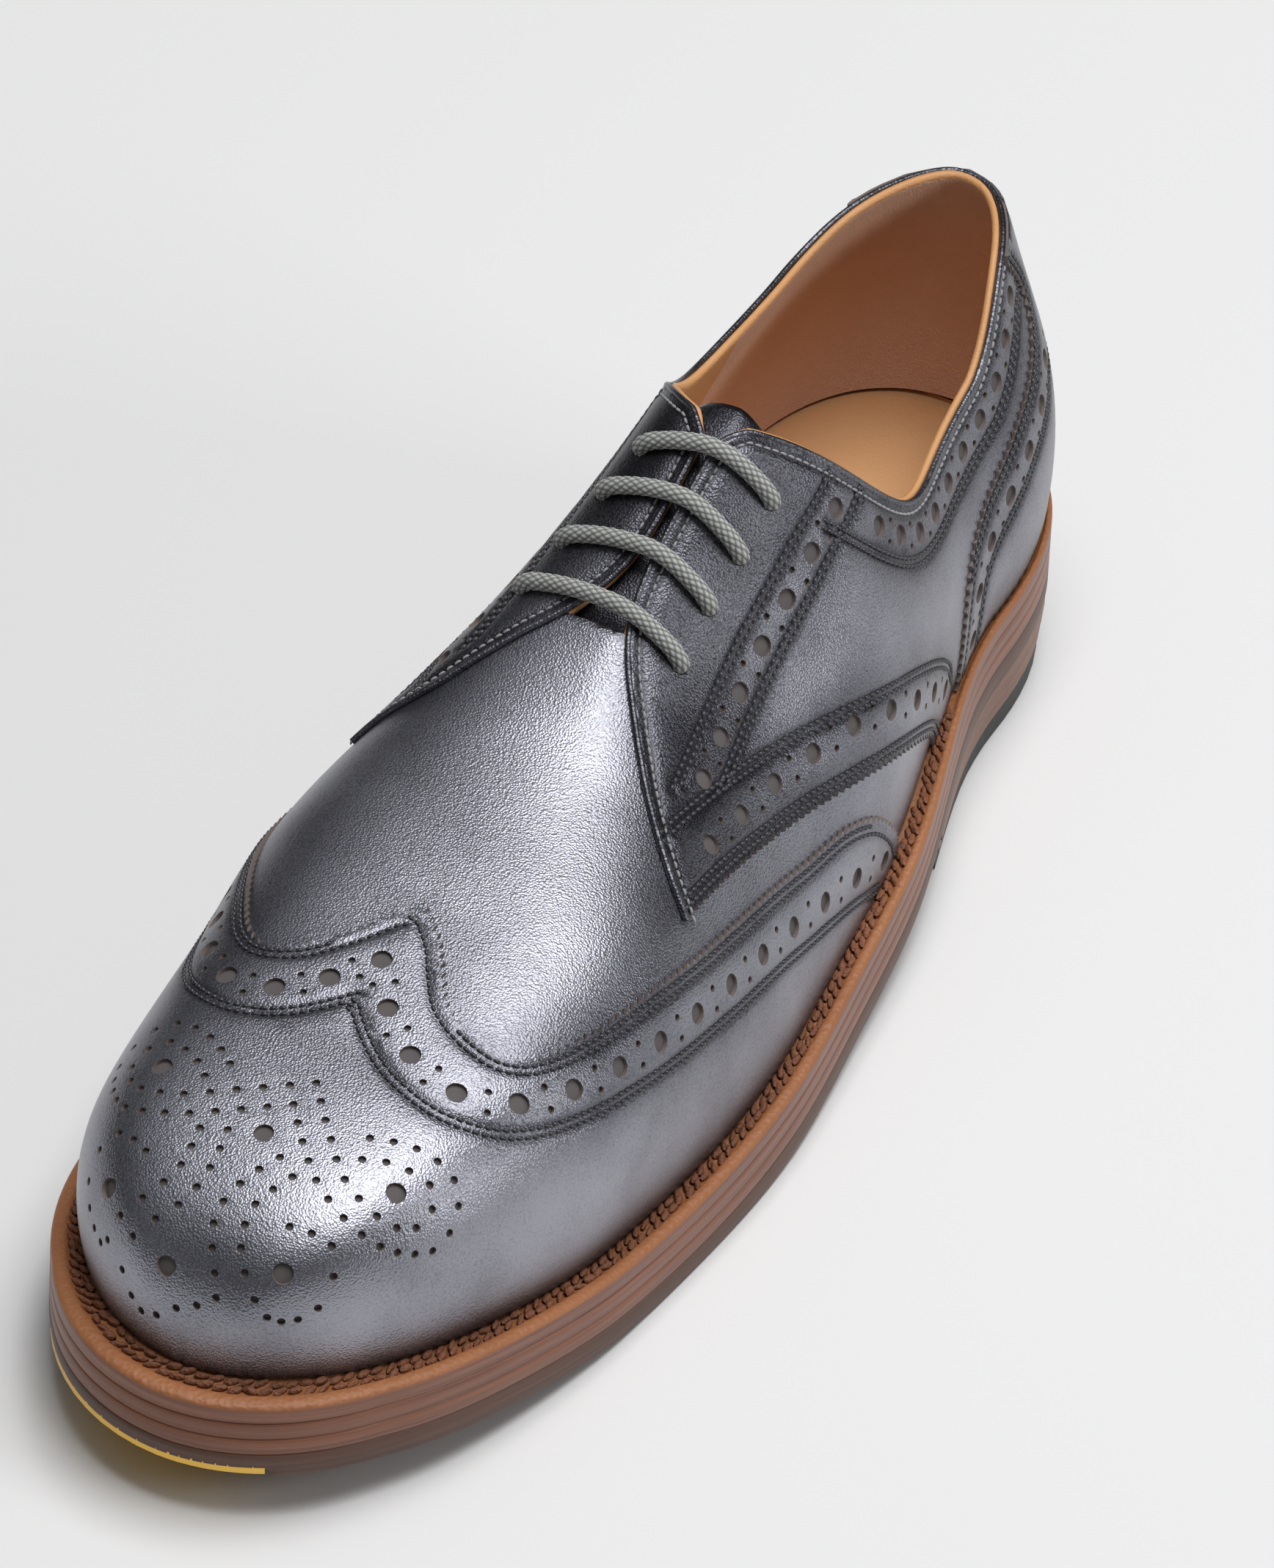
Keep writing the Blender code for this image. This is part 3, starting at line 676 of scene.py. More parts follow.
def one_side(line, sign):
    """The part of a chart line on one side of the ridge, brought to the ridge at its cut end."""
    kept = line[line[:, 1] * sign > RIDGE_CLEAR]
    if abs(kept[0, 1]) < abs(kept[-1, 1]):
        return np.concatenate([[[kept[0, 0], 0.0]], kept])
    return np.concatenate([kept, [[kept[-1, 0], 0.0]]])


def sized(points, radius):
    """Holes of one radius at chart points."""
    return np.column_stack([points, np.full(len(points), radius)])


def punched_row(chart, line, pitch, stretch=0.0, skip_first=False):
    """A big hole at every step along a line and a pair of small ones across it halfway between.

    Stretch makes the steps grow along the line. Holes that would reach the feather line are left out.
    """
    run = line_length(chart, line)
    u = np.linspace(0, 1, 2 * max(1, int(round(run[-1] / pitch))) + 1)
    points = at_run(line, run, run[-1] * (u + stretch * (u**2 - u)))
    pairs = [beside(chart, points, side)[1::2] for side in (-PAIR_APART, PAIR_APART)]
    bigs = points[2 if skip_first else 0::2]
    holes = np.concatenate([sized(bigs, BIG_HOLE), sized(np.concatenate(pairs), PAIR_HOLE)])
    return holes[chart(holes)[2] * GIRTH > holes[:, 2] + FEATHER_CLEAR]


def trimmed(line, rim):
    """The part of a line that lies inside a rim, from its first point there to its last."""
    found = np.flatnonzero(inside(line, rim) & (nearest(line, rim) > SEAM_END))
    return line[found[0]:found[-1] + 1]


def through(x, points, at):
    """Smooth curve through points at places x along it."""
    return hermite(x, points, np.gradient(points, x, axis=0), at)


def medallion():
    """The punched figure on the toe: four mirrored loops of small holes with big ones between them.

    Points are mm from the figure's centre, across and towards the toe. They are laid along the ridge's own
    length and then across the section, turned a little towards the inner side as punched.
    """
    rear_outer = [(0, -13.8), (9.8, -6.2), (17.5, -1.3), (24.9, -0.7), (31.2, -5.5), (30.2, -11.6),
                  (21.5, -9.8), (13.4, -3.8)]
    rear_inner = [(0, -7.8), (7.2, -2.1), (15.6, 2.8), (23.9, 3.7), (32.4, -1.7), (37, -10.5), (32.5, -16),
                  (24.4, -15.7), (17, -12.2), (11.5, -8.2)]
    front_side = [(9.7, 3.9), (7.8, 12.4), (10.6, 19.8), (17.2, 24.1), (23.8, 20.3), (27.8, 13.2),
                  (23.4, 8.7), (15.1, 11.3)]
    front_axis = [(5.5, 2.2), (3.3, 9.3), (3.1, 16.9), (7.5, 24.3), (10.6, 28.4), (7.9, 32.2), (1.2, 36.9)]
    bigs = np.array([(0, 0), (0, 28.9), (24.9, -6.2), (-24.9, -6.2), (18.6, 17.6), (-18.6, 17.6)])
    small = np.zeros((0, 2))
    for table in (rear_outer, rear_inner, front_side, front_axis):
        points = np.array(table, float)
        t = running(points)
        curve = through(t, points, np.linspace(0, t[-1], 300))
        run = running(curve)
        row = at_run(curve, run, np.linspace(0, run[-1], int(round(run[-1] / MEDALLION_PITCH)) + 1))
        for hole in np.concatenate([row, row * [-1, 1]]):
            if len(small) == 0 or np.linalg.norm(small - hole, axis=1).min() > MEDALLION_CLEAR:
                small = np.concatenate([small, hole[None]])
    flat = np.concatenate([bigs, small])
    size = np.repeat([MEDALLION_BIG, MEDALLION_SMALL], [len(bigs), len(small)])
    flat[:, 1] += MEDALLION_LEAN * np.maximum(-flat[:, 0], 0)
    c, s = MEDALLION_TURN
    across = MEDALLION_PLACE[0] + c * flat[:, 0] - s * flat[:, 1]
    ahead = MEDALLION_PLACE[1] + s * flat[:, 0] + c * flat[:, 1]
    tau = np.linspace(1.9, 2.999, 300)
    tau = np.interp(ahead, running(last(tau, 1.0, 1.0)), tau)
    w = np.linspace(1, 0, 200)
    side = np.where(across < 0, -1.0, 1.0)
    walls = last(tau[:, None], side[:, None], w[None])
    share = np.array([np.interp(abs(q), running(wall), w) for q, wall in zip(across, walls)])
    return np.column_stack([np.interp(tau, CHART_TAU, CHART_ALONG), side * (1 - share) * GIRTH, size])


edge_lateral = smooth_line(over, CAP_LATERAL)[::-1]
edge_medial = smooth_line(over, CAP_MEDIAL)
feather_cap = straight_line(over, [(99, -0.0), (222, -0.0), (TOE_TIP, -0.0)])
feather_back = straight_line(over, [(TOE_TIP, 0.0), (222, 0.0), (106, 0.0)])
cap_rim = np.concatenate([pinked(over, edge_lateral)[:-1], pinked(over, edge_medial)[:-1], feather_cap,
                          feather_back[:-1]])
row_lateral = smooth_line(over, ROW_LATERAL)
row_medial = smooth_line(over, ROW_MEDIAL)
cap_seams = [one_side(beside(over, line, way * d), sign)
             for line, way, sign, rows in ((edge_lateral, 1, 1, EDGE_ROWS), (edge_medial, 1, -1, EDGE_ROWS),
                                           (row_lateral, -1, 1, BAND_ROWS), (row_medial, 1, -1, BAND_ROWS))
             for d in rows]
cap_seams = [trimmed(seam, cap_rim) for seam in cap_seams]
cap_holes = np.concatenate([punched_row(over, row_lateral, CAP_PITCH, CAP_STRETCH),
                            punched_row(over, row_medial, CAP_PITCH_MEDIAL, CAP_STRETCH, True), medallion()])
cut_panel("wing_cap", over, cap_rim, cap_holes, cap_seams)

# Quarters
# The two sides of slate calf that meet behind under the counter and close over the instep with open
# facings. Punched and sewn bands run along the lower edge, beside the facings and round the collar.
TOPLINE_COLUMNS = "station medial lateral".split()
TOPLINE = np.array([
    [0.0, 90.5, 90.5],
    [20.0, 86.8, 84.6],
    [45.0, 85.2, 77.2],
    [65.0, 84.6, 74.8],
    [80.0, 86.6, 77.0],
    [92.0, 94.6, 88.4],
    [101.0, 102.4, 99.0],
    [107.0, 106.0, 104.6],
    [110.0, 106.8, 106.6],
])
TOPLINE_FRONT = 108.6
LOWER_LATERAL = [(181.5, 0.57), (170, 0.527), (160, 0.477), (149, 0.413), (137, 0.343), (125, 0.273),
                 (113, 0.205), (103, 0.15), (93, 0.09), (86, 0.04), (82, 0.0)]
LOWER_MEDIAL = [(172, 0.6), (163, 0.557), (155, 0.51), (147, 0.453), (137, 0.375), (125, 0.3), (113, 0.225),
                (103, 0.165), (93, 0.11), (84, 0.06), (77, 0.0)]
FACING_LATERAL = [(181.5, 0.57), (178, 0.645), (173, 0.71), (167, 0.765), (161, 0.808), (155.5, 0.848),
                  (149.5, 0.898), (145, 0.93), (140, 0.952), (133, 0.968), (124, 0.974), (113, 0.972)]
FACING_MEDIAL = [(172, 0.6), (169.5, 0.635), (167.5, 0.68), (165.5, 0.735), (162, 0.785), (158.5, 0.815),
                 (151, 0.88), (146.5, 0.922), (140.5, 0.96), (134, 0.98), (126, 0.985), (113, 0.982)]
LACE_BARS = np.array([
    [113.0, 12.0, 116.4, 11.4],
    [122.8, 11.8, 124.4, 13.9],
    [132.4, 11.6, 133.2, 16.5],
    [143.4, 12.6, 142.0, 19.2],
])
STAY_LATERAL = [(93, 0.66), (101.8, 0.649), (110.3, 0.641), (118.3, 0.631), (126.3, 0.624), (134.9, 0.619),
                (145.1, 0.624), (156.1, 0.641), (164, 0.655)]
STAY_MEDIAL = [(95, 0.70), (103, 0.70), (113, 0.70), (126, 0.705), (141, 0.72), (156, 0.72), (164, 0.72)]
STAY_ROWS = [(-4.9, 163.0), (-3.6, 161.0), (3.6, 154.5), (4.9, 153.0)]
LOW_ROW_LATERAL = [(164.4, 0.581), (152.8, 0.52), (141.8, 0.466), (132.4, 0.419), (123.3, 0.376),
                   (114.2, 0.323), (104.3, 0.254), (95, 0.19), (86, 0.128), (78, 0.07)]
LOW_BAND_ROWS = {"lateral": (12.8, 14.2), "medial": (11.4, 12.8)}
LOW_PITCH = 11.1
STAY_PITCH = 9.8
COLLAR_PITCH = 8.4
COLLAR_ROWS = (9.8, 11.2)
EYELET = 1.75
TOP_ROW = 1.9
STAY_FROM = 80
STAY_HOLES_LATERAL = (101.8, 156.1)
STAY_HOLES_MEDIAL = (103, 156.1)
LOW_ROW_MEDIAL = 7.4
LOW_ROW_SHORT = 15
COLLAR_HOLES = 5.8
COLLAR_HOLES_PART = (0.09, 0.91)
COLLAR_SEAM_PART = (0.05, 0.95)
# Painted shade that darkens the facings, from the eyelets back to the punched stays.
FACING_SHADE = 0.58
FACING_SHADE_SHARE = (0.6, 0.1)
FACING_SHADE_STATION = (88.0, 14.0)


def topline(side):
    """Chart line of the collar's edge on one side, from the back seam to the top of the facing."""
    column = TOPLINE_COLUMNS.index("lateral" if side > 0 else "medial")
    s = np.concatenate([np.linspace(2.0, 45.0, 30), np.linspace(47.0, TOPLINE_FRONT, 44)])
    height = spline(TOPLINE[:, 0], TOPLINE[:, column], s)
    w = np.linspace(0.3, 1, 300)
    walls = last(tau_at(s)[:, None], np.full((len(s), 1), side), w[None])
    share = np.array([np.interp(z, wall, w) for z, wall in zip(height, walls[..., 2])])
    return chart_points(round_heel, s, side * share)


def wall_share(s, side, reach):
    """The wall share at which a section is a given reach from its centre line, on its upper half."""
    w = np.linspace(0.4, 1, 400)
    walls = last(tau_at(s)[:, None], side[:, None], w[None])
    middle = section_value("centre", s)
    return np.array([np.interp(-r, -np.abs(p[:, 0] - c), w) for r, p, c in zip(reach, walls, middle)])


def side_line(table, side):
    """A smooth line round the heel from a table of stations and wall shares put on one side."""
    return smooth_line(round_heel, [(s, side * w) for s, w in table])


def between(line, first, final):
    """The part of a line between two of its lengths, given as shares."""
    return line[int(first * len(line)):int(final * len(line))]


def stations(line, first, final):
    """The part of a round chart line between two stations."""
    s = station(round_heel(line)[0])
    return line[(s >= first) & (s <= final)]


def painted_facing_shade(tau, side, w):
    """Painted shade over the facings, from the eyelets to the punched stays."""
    up = np.clip((w - FACING_SHADE_SHARE[0]) / FACING_SHADE_SHARE[1], 0, 1)
    ahead = np.clip((station(tau) - FACING_SHADE_STATION[0]) / FACING_SHADE_STATION[1], 0, 1)
    return FACING_SHADE * up * ahead


lower_lateral = side_line(LOWER_LATERAL, 1.0)
lower_medial = side_line(LOWER_MEDIAL, -1.0)[::-1]
facing_lateral = side_line(FACING_LATERAL, 1.0)[::-1]
facing_medial = side_line(FACING_MEDIAL, -1.0)
collar = np.concatenate([topline(-1.0)[::-1], topline(1.0)[1:]])
top_rim = even(round_heel, np.concatenate([facing_medial, collar, facing_lateral]), 1.6)
feather_heel = straight_line(round_heel, [(82, 0.0), (45, 0.0), (2.0, 0.0), (2.0, -0.0), (45, -0.0),
                                          (77, -0.0)])
quarter_rim = np.concatenate([pinked(round_heel, lower_lateral)[:-1], feather_heel[:-1],
                              pinked(round_heel, lower_medial)[:-1], top_rim[:-1]])
stay_lateral = side_line(STAY_LATERAL, 1.0)
stay_medial = side_line(STAY_MEDIAL, -1.0)[::-1]
quarter_seams = []
for edge, name in ((lower_lateral, "lateral"), (lower_medial, "medial")):
    quarter_seams += [beside(round_heel, edge, d) for d in EDGE_ROWS + LOW_BAND_ROWS[name]]
for line, sign in ((stay_lateral, 1), (stay_medial, -1)):
    quarter_seams += [stations(beside(round_heel, line, sign * d), STAY_FROM, final) for d, final in STAY_ROWS]
quarter_seams += [between(beside(round_heel, collar, d), *COLLAR_SEAM_PART) for d in COLLAR_ROWS]
quarter_seams = [trimmed(seam, quarter_rim) for seam in quarter_seams]
top_row = beside(round_heel, top_rim, TOP_ROW)
eyelet_s = np.concatenate([LACE_BARS[:, 0], LACE_BARS[:, 2]])
eyelet_side = np.repeat([1.0, -1.0], 4)
eyelet_share = wall_share(eyelet_s, eyelet_side, np.concatenate([LACE_BARS[:, 1], LACE_BARS[:, 3]]))
eyelets = sized(chart_points(round_heel, eyelet_s, eyelet_side * eyelet_share), EYELET)
quarter_holes = np.concatenate([punched_row(round_heel, line, pitch) for line, pitch in (
    (side_line(LOW_ROW_LATERAL, 1.0), LOW_PITCH),
    (beside(round_heel, lower_medial, LOW_ROW_MEDIAL)[:-LOW_ROW_SHORT], LOW_PITCH),
    (stations(stay_lateral, *STAY_HOLES_LATERAL), STAY_PITCH),
    (stations(stay_medial, *STAY_HOLES_MEDIAL), STAY_PITCH),
    (between(beside(round_heel, collar, COLLAR_HOLES), *COLLAR_HOLES_PART), COLLAR_PITCH))])
quarters = cut_panel("quarters", round_heel, quarter_rim, np.concatenate([quarter_holes, eyelets]),
                     quarter_seams + [top_row], painted_shade=painted_facing_shade, burnish_with_shade=0.68)
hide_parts("upper")

# Vamp
# One soft piece of the same calf over the instep and sides, sewn under the cap in front and under the
# quarters behind, without holes of its own.
VAMP_LIFT = -0.45
VAMP_RIM = [(262, -1.0), (262, -0.5), (262, -0.0), (230, -0.0), (180, -0.0), (120, -0.0), (72, -0.0),
            (70, -0.2), (86, -0.3), (110, -0.45), (132, -0.62), (140, -0.8), (146, -0.95), (146, 0.95),
            (143, 0.8), (135, 0.62), (110, 0.45), (86, 0.3), (70, 0.2), (72, 0.0), (120, 0.0),
            (180, 0.0), (230, 0.0), (262, 0.0), (262, 0.5), (262, 0.98)]
vamp_shadows = [surface(over, edge_lateral), surface(over, edge_medial), surface(round_heel, facing_lateral),
                surface(round_heel, facing_medial)]
vamp_rim = straight_line(over, VAMP_RIM + VAMP_RIM[:1])[:-1]
cut_panel("vamp", over, vamp_rim, np.zeros((0, 3)), [], lift=VAMP_LIFT, thick=0.8, burnish_with_shade=0.4,
          shadows=vamp_shadows)

# Counter
# The stiffened heel piece of slate calf, sewn over the quarters' back seam, with a tab up to the collar.
# It is gimped and punched like the bands before it.
COUNTER_EDGE = [(68, 0.0), (67.5, 0.06), (66, 0.13), (62, 0.2), (55, 0.25), (43, 0.3), (30, 0.335),
                (18, 0.37), (11, 0.42), (8.5, 0.48), (9.0, 0.53), (10.0, 0.57)]
COUNTER_ROWS = (10.6, 12.0)
COUNTER_PITCH = 9.6
COUNTER_LIFT = 1.3
COUNTER_ROW = 7.0
COUNTER_ROW_FOOT = 3.0
COUNTER_TURN = (0.28, 0.72)
counter_lateral = side_line(COUNTER_EDGE, 1.0)[::-1]
counter_medial = side_line(COUNTER_EDGE, -1.0)
counter_top = collar[(collar[:, 0] < counter_lateral[0, 0]) & (collar[:, 0] > counter_medial[-1, 0])]
counter_feather = straight_line(round_heel, [(68, -0.0), (45, -0.0), (2.0, -0.0), (2.0, 0.0), (45, 0.0),
                                             (68, 0.0)])
counter_rim = np.concatenate([pinked(round_heel, counter_medial)[:-1], counter_top,
                              pinked(round_heel, counter_lateral)[:-1], counter_feather[::-1][:-1]])
counter_turn = np.concatenate([between(counter_medial, 0.0, COUNTER_TURN[1]),
                               between(counter_lateral, COUNTER_TURN[0], 1.0)])
counter_row = even(round_heel, beside(round_heel, counter_turn, COUNTER_ROW), 1.0)
counter_holes = punched_row(round_heel, counter_row[counter_row[:, 1] > COUNTER_ROW_FOOT], COUNTER_PITCH)
counter_seams = [beside(round_heel, edge, d) for edge in (counter_medial, counter_lateral) for d in EDGE_ROWS]
counter_seams += [even(round_heel, beside(round_heel, counter_turn, d), 1.0) for d in COUNTER_ROWS]
counter_seams = [trimmed(seam, counter_rim) for seam in counter_seams]
cut_panel("counter", round_heel, counter_rim[::-1], counter_holes, counter_seams, lift=COUNTER_LIFT,
          thick=1.0, burnish_with_shade=0.6)

# Hole floors
# The backing leather that shows at the bottom of each punched hole, grey-brown and unpolished.
# It is glued behind the panels, so one small disc stands for it under each hole.
FLOOR_LIFT = -0.28
COUNTER_FLOOR_LIFT = 0.6
DISC_GROW = 0.15


def disc_fans(chart, holes, lift):
    """One fan of triangles for each hole, a little wider than it, at a lift above the last."""
    n = len(holes)
    rims = hole_rings(chart, holes, DISC_GROW).reshape(-1, 2)
    points = np.concatenate([surface(chart, holes[:, :2], lift), surface(chart, rims, lift)])
    first = n + np.arange(n)[:, None, None] * HOLE_SIDES
    middle = np.broadcast_to(np.arange(n)[:, None, None], (n, HOLE_SIDES, 1))
    return points, np.concatenate([middle, first + loop_edges(0, HOLE_SIDES)], -1).reshape(-1, 3)


def joined(parts):
    """Points and faces of several meshes as one."""
    start = np.cumsum([0] + [len(p) for p, _ in parts])
    return np.concatenate([p for p, _ in parts]), np.concatenate([f + k for (_, f), k in zip(parts, start)])


BACKING, _, _ = plain_material("hole_backing", (0.105, 0.092, 0.092), 0.75)
hole_discs = joined([disc_fans(over, cap_holes, FLOOR_LIFT), disc_fans(round_heel, quarter_holes, FLOOR_LIFT),
                     disc_fans(round_heel, counter_holes, COUNTER_FLOOR_LIFT)])
hole_floors = mesh_piece("hole_floors", *hole_discs, [BACKING])
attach(hole_floors, "root")

# Stitching
# Waxed thread in double rows along the bands and a single paler row along the facings and collar.
# Each stitch is a short bead of thread that dips into the leather at both ends.
STITCH_PITCH = 1.7
STITCH_LONG = 1.42
STITCH_THICK = 0.41
EDGE_STITCH_THICK = 0.28
STITCH_STEPS = np.array([-0.5, -0.34, 0.0, 0.34, 0.5])
STITCH_SWELL = np.array([0.35, 0.9, 1.0, 0.9, 0.35])
STITCH_BOW = np.array([-0.16, 0.0, 0.06, 0.0, -0.16])
STITCH_LIFT = PANEL_LIFT - SEAM_SINK + 0.14


def net_faces(rows, columns, closed=True):
    """Quads of a grid of points whose rows are closed rings or open lines."""
    i, j = np.meshgrid(np.arange(rows - 1), np.arange(columns if closed else columns - 1), indexing="ij")
    k = (j + 1) % columns
    quads = [i * columns + j, i * columns + k, (i + 1) * columns + k, (i + 1) * columns + j]
    return np.stack(quads, -1).reshape(-1, 4)


def beads(middle, along, up, across, step, rise, wide):
    """Short tubes at the middles: rings at steps along, with points at a rise and a width in mm."""
    cloud = (middle[:, None, None] + along[:, None, None] * step[:, None, None] * MM
             + up[:, None, None] * rise[..., None] * MM + across[:, None, None] * wide[..., None] * MM)
    rings, sides = cloud.shape[1:3]
    faces = np.arange(len(middle))[:, None, None] * rings * sides + net_faces(rings, sides)
    return cloud.reshape(-1, 3), faces.reshape(-1, 4)


def stitch_beads(chart, line, lift, thick=STITCH_THICK):
    """Stitches along a line: five rings of six points each, thinner and lower at the ends."""
    points = even(chart, line, STITCH_PITCH)
    middle = surface(chart, points, lift)
    along = unit(np.gradient(middle, axis=0))
    up = outward(*chart(points))
    turn = np.arange(6) * np.pi / 3
    swell = (STITCH_SWELL * thick)[:, None]
    return beads(middle, along, up, np.cross(up, along), STITCH_STEPS * STITCH_LONG,
                 STITCH_BOW[:, None] + swell * np.sin(turn), swell * np.cos(turn))


THREAD, _, _ = plain_material("waxed_thread", (0.04, 0.04, 0.047), 0.3)
PALE_THREAD, _, _ = plain_material("edge_thread", (0.30, 0.30, 0.31), 0.55)
cap_thread = joined([stitch_beads(over, seam, STITCH_LIFT) for seam in cap_seams])
cap_stitches = mesh_piece("cap_stitching", *cap_thread, [THREAD])
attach(cap_stitches, "root")
counter_up = STITCH_LIFT + (COUNTER_LIFT - PANEL_LIFT)
quarter_thread = joined([stitch_beads(round_heel, seam, STITCH_LIFT) for seam in quarter_seams]
                        + [stitch_beads(round_heel, seam, counter_up) for seam in counter_seams])
quarter_stitches = mesh_piece("quarter_stitching", *quarter_thread, [THREAD])
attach(quarter_stitches, "root")
edge_thread = stitch_beads(round_heel, top_row, STITCH_LIFT, EDGE_STITCH_THICK)
edge_stitches = mesh_piece("facing_stitching", *edge_thread, [PALE_THREAD])
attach(edge_stitches, "root")

# Rolled edges
# The quarters' top edges of slate calf are folded over a cord and sewn, which makes a thin bead along
# the facings and collar.
BEAD = 0.62
BEAD_LIFT = 0.05


def tube(path, up, radius, sides=10):
    """A round tube along a path of points in metres, with its rings in the plane of up and across."""
    along = unit(np.gradient(path, axis=0))
    across = unit(np.cross(up, along))
    up = np.cross(along, across)
    turn = np.linspace(0, 2 * np.pi, sides, endpoint=False)
    radius = np.broadcast_to(radius, (len(path), sides))[..., None] * MM
    spoke = up[:, None] * np.cos(turn)[:, None] + across[:, None] * np.sin(turn)[:, None]
    rings = path[:, None] + spoke * radius
    return rings.reshape(-1, 3), net_faces(len(path), sides)


def dressed(piece, shade):
    """One value of burnish and painted shade for a whole piece."""
    tagged(piece, "burnish_and_shade", np.full(len(piece.data.vertices), shade))


bead_line = even(round_heel, top_rim, 1.2)
bead_tube = tube(surface(round_heel, bead_line, BEAD_LIFT), outward(*round_heel(bead_line)), BEAD)
bead = mesh_piece("rolled_edges", *bead_tube, [SLATE])
dressed(bead, 0.6)
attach(bead, "root")

# Lining
# Vegetable-tanned lining leather glued behind the quarters: smooth tan in front and brushed suede at the
# heel. Its raw cut edge shows along the collar and at the front of the facings.
LINING_LIFT = -2.0
LINING_ROWS = [(0.1, -0.6), (1.0, -0.65), (1.05, -1.5), (0.3, LINING_LIFT)]
LINING_SHARES = np.linspace(0.985, 0.05, 26)
FACING_TUCK = 0.85
TUCK_FROM = 109.0
TUCK_UNTIL = 146.0
TUCK_FADES = (4.0, 6.0)
SUEDE_FROM = 62.0
lining_line = even(round_heel, top_rim, 1.6)
lining_station = station(round_heel(lining_line)[0])
tuck = (np.clip((lining_station - TUCK_FROM) / TUCK_FADES[0], 0, 1)
        * np.clip((TUCK_UNTIL - lining_station) / TUCK_FADES[1], 0, 1))
overhang = 1 - FACING_TUCK * tuck
lining_points = np.stack(
    [surface(round_heel, beside(round_heel, lining_line, -d * overhang), lift) for d, lift in LINING_ROWS]
    + [surface(round_heel, lining_line * [1.0, share], LINING_LIFT) for share in LINING_SHARES])
TAN = leather("tan_lining", (0.72, 0.39, 0.17), (0.58, 0.28, 0.11), 1500.0, 0.2, 0.55)
SUEDE = leather("heel_suede", (0.84, 0.58, 0.44), (0.68, 0.44, 0.32), 2500.0, 0.5, 0.95)
lining_faces = net_faces(*lining_points.shape[:2], closed=False)
lining_s = (MIDDLE[1] - lining_points[..., 1].reshape(-1) / MM)[lining_faces].mean(1)
lining_row = lining_faces[:, 0] // len(lining_line)
lining = mesh_piece("lining", lining_points.reshape(-1, 3), lining_faces, [TAN, SUEDE],
                    (lining_s < SUEDE_FROM) & (lining_row >= len(LINING_ROWS) - 1))
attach(lining, "root")

# Tongue
# A padded strip of slate calf under the facings, sewn to the vamp in front and free at its top.
# Its two faces meet in a rounded edge.
TONGUE_FIRST = 104.5
TONGUE_FINAL = 158.0
TONGUE_HALF = 17.0
TONGUE_LIFT = -2.7
TONGUE_THICK = 1.6
TONGUE_DROOP = 1.6
TONGUE_DROOP_FROM = 113.0
TONGUE_CORNER = (2.5, 6.0)
TONGUE_ROUND = 8
half_turn = np.linspace(-1, 1, 33)
tongue_s = np.linspace(TONGUE_FIRST, TONGUE_FINAL, 50)
for_s = np.repeat(tongue_s, len(half_turn))
width = TONGUE_HALF * np.clip((for_s - TONGUE_FIRST + TONGUE_CORNER[0]) / TONGUE_CORNER[1], 0, 1) ** 0.5
droop = TONGUE_DROOP * np.clip((TONGUE_DROOP_FROM - for_s) / (TONGUE_DROOP_FROM - TONGUE_FIRST), 0, 1) ** 2
tongue_rows = []
for reach, half_thick in [(half_turn, TONGUE_THICK / 2), (half_turn[::-1], -TONGUE_THICK / 2)]:
    reach = np.tile(reach, len(tongue_s))
    side = np.where(reach < 0, -1.0, 1.0)
    at = chart_points(over, for_s, side * wall_share(for_s, side, np.abs(reach) * width))
    lift = TONGUE_LIFT - droop - TONGUE_THICK / 2 + half_thick * (1 - np.abs(reach) ** TONGUE_ROUND)
    tongue_rows.append(surface(over, at, lift).reshape(len(tongue_s), len(half_turn), 3))
tongue_rings = np.concatenate(tongue_rows, 1)
tongue_rings = np.concatenate([tongue_rings[:1] * 0.5 + tongue_rings[:1, ::-1] * 0.5, tongue_rings])
tongue = mesh_piece("tongue_strip", tongue_rings.reshape(-1, 3), net_faces(*tongue_rings.shape[:2]), [SLATE])
dressed(tongue, 0.75)
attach(tongue, "root")
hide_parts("tongue")

# Sock
# The plain tan leather sheet glued over the insole, cupped a little towards its edge.
# It is trimmed just inside the upper's wall.
SOCK_LIFT = 3.5
SOCK_INSET = 0.7
SOCK_CUP = 0.6
sock_tau = np.concatenate([np.linspace(0.0, 1, 30), np.linspace(1, 2, 60)[1:]])
across = np.linspace(-1, 1, 31)
left, right = last(sock_tau, -1.0, 0.0), last(sock_tau, 1.0, 0.0)
mix = (across + 1) / 2
sock_points = left[:, None] * (1 - mix)[:, None] + right[:, None] * mix[:, None]
centre = sock_points.mean(1, keepdims=True)
inset = 1 - SOCK_INSET / np.maximum(np.linalg.norm(left - right, axis=1) / 2, SOCK_INSET + 0.1)
sock_points = centre + (sock_points - centre) * inset[:, None, None]
sock_points[..., 1] = np.maximum(sock_points[..., 1], HEEL_AXIS - BACK["reach"] + SOCK_INSET)
sock_points[..., 2] += SOCK_LIFT - SOCK_CUP * (1 - across**2)
SOCK_TAN = leather("sock_tan", (0.77, 0.45, 0.22), (0.66, 0.37, 0.17), 1100.0, 0.25, 0.5)
sock_faces = net_faces(*sock_points.shape[:2], closed=False)
sock = mesh_piece("sock", to_frame(sock_points).reshape(-1, 3), sock_faces, [SOCK_TAN])
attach(sock, "root")
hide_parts("insole")

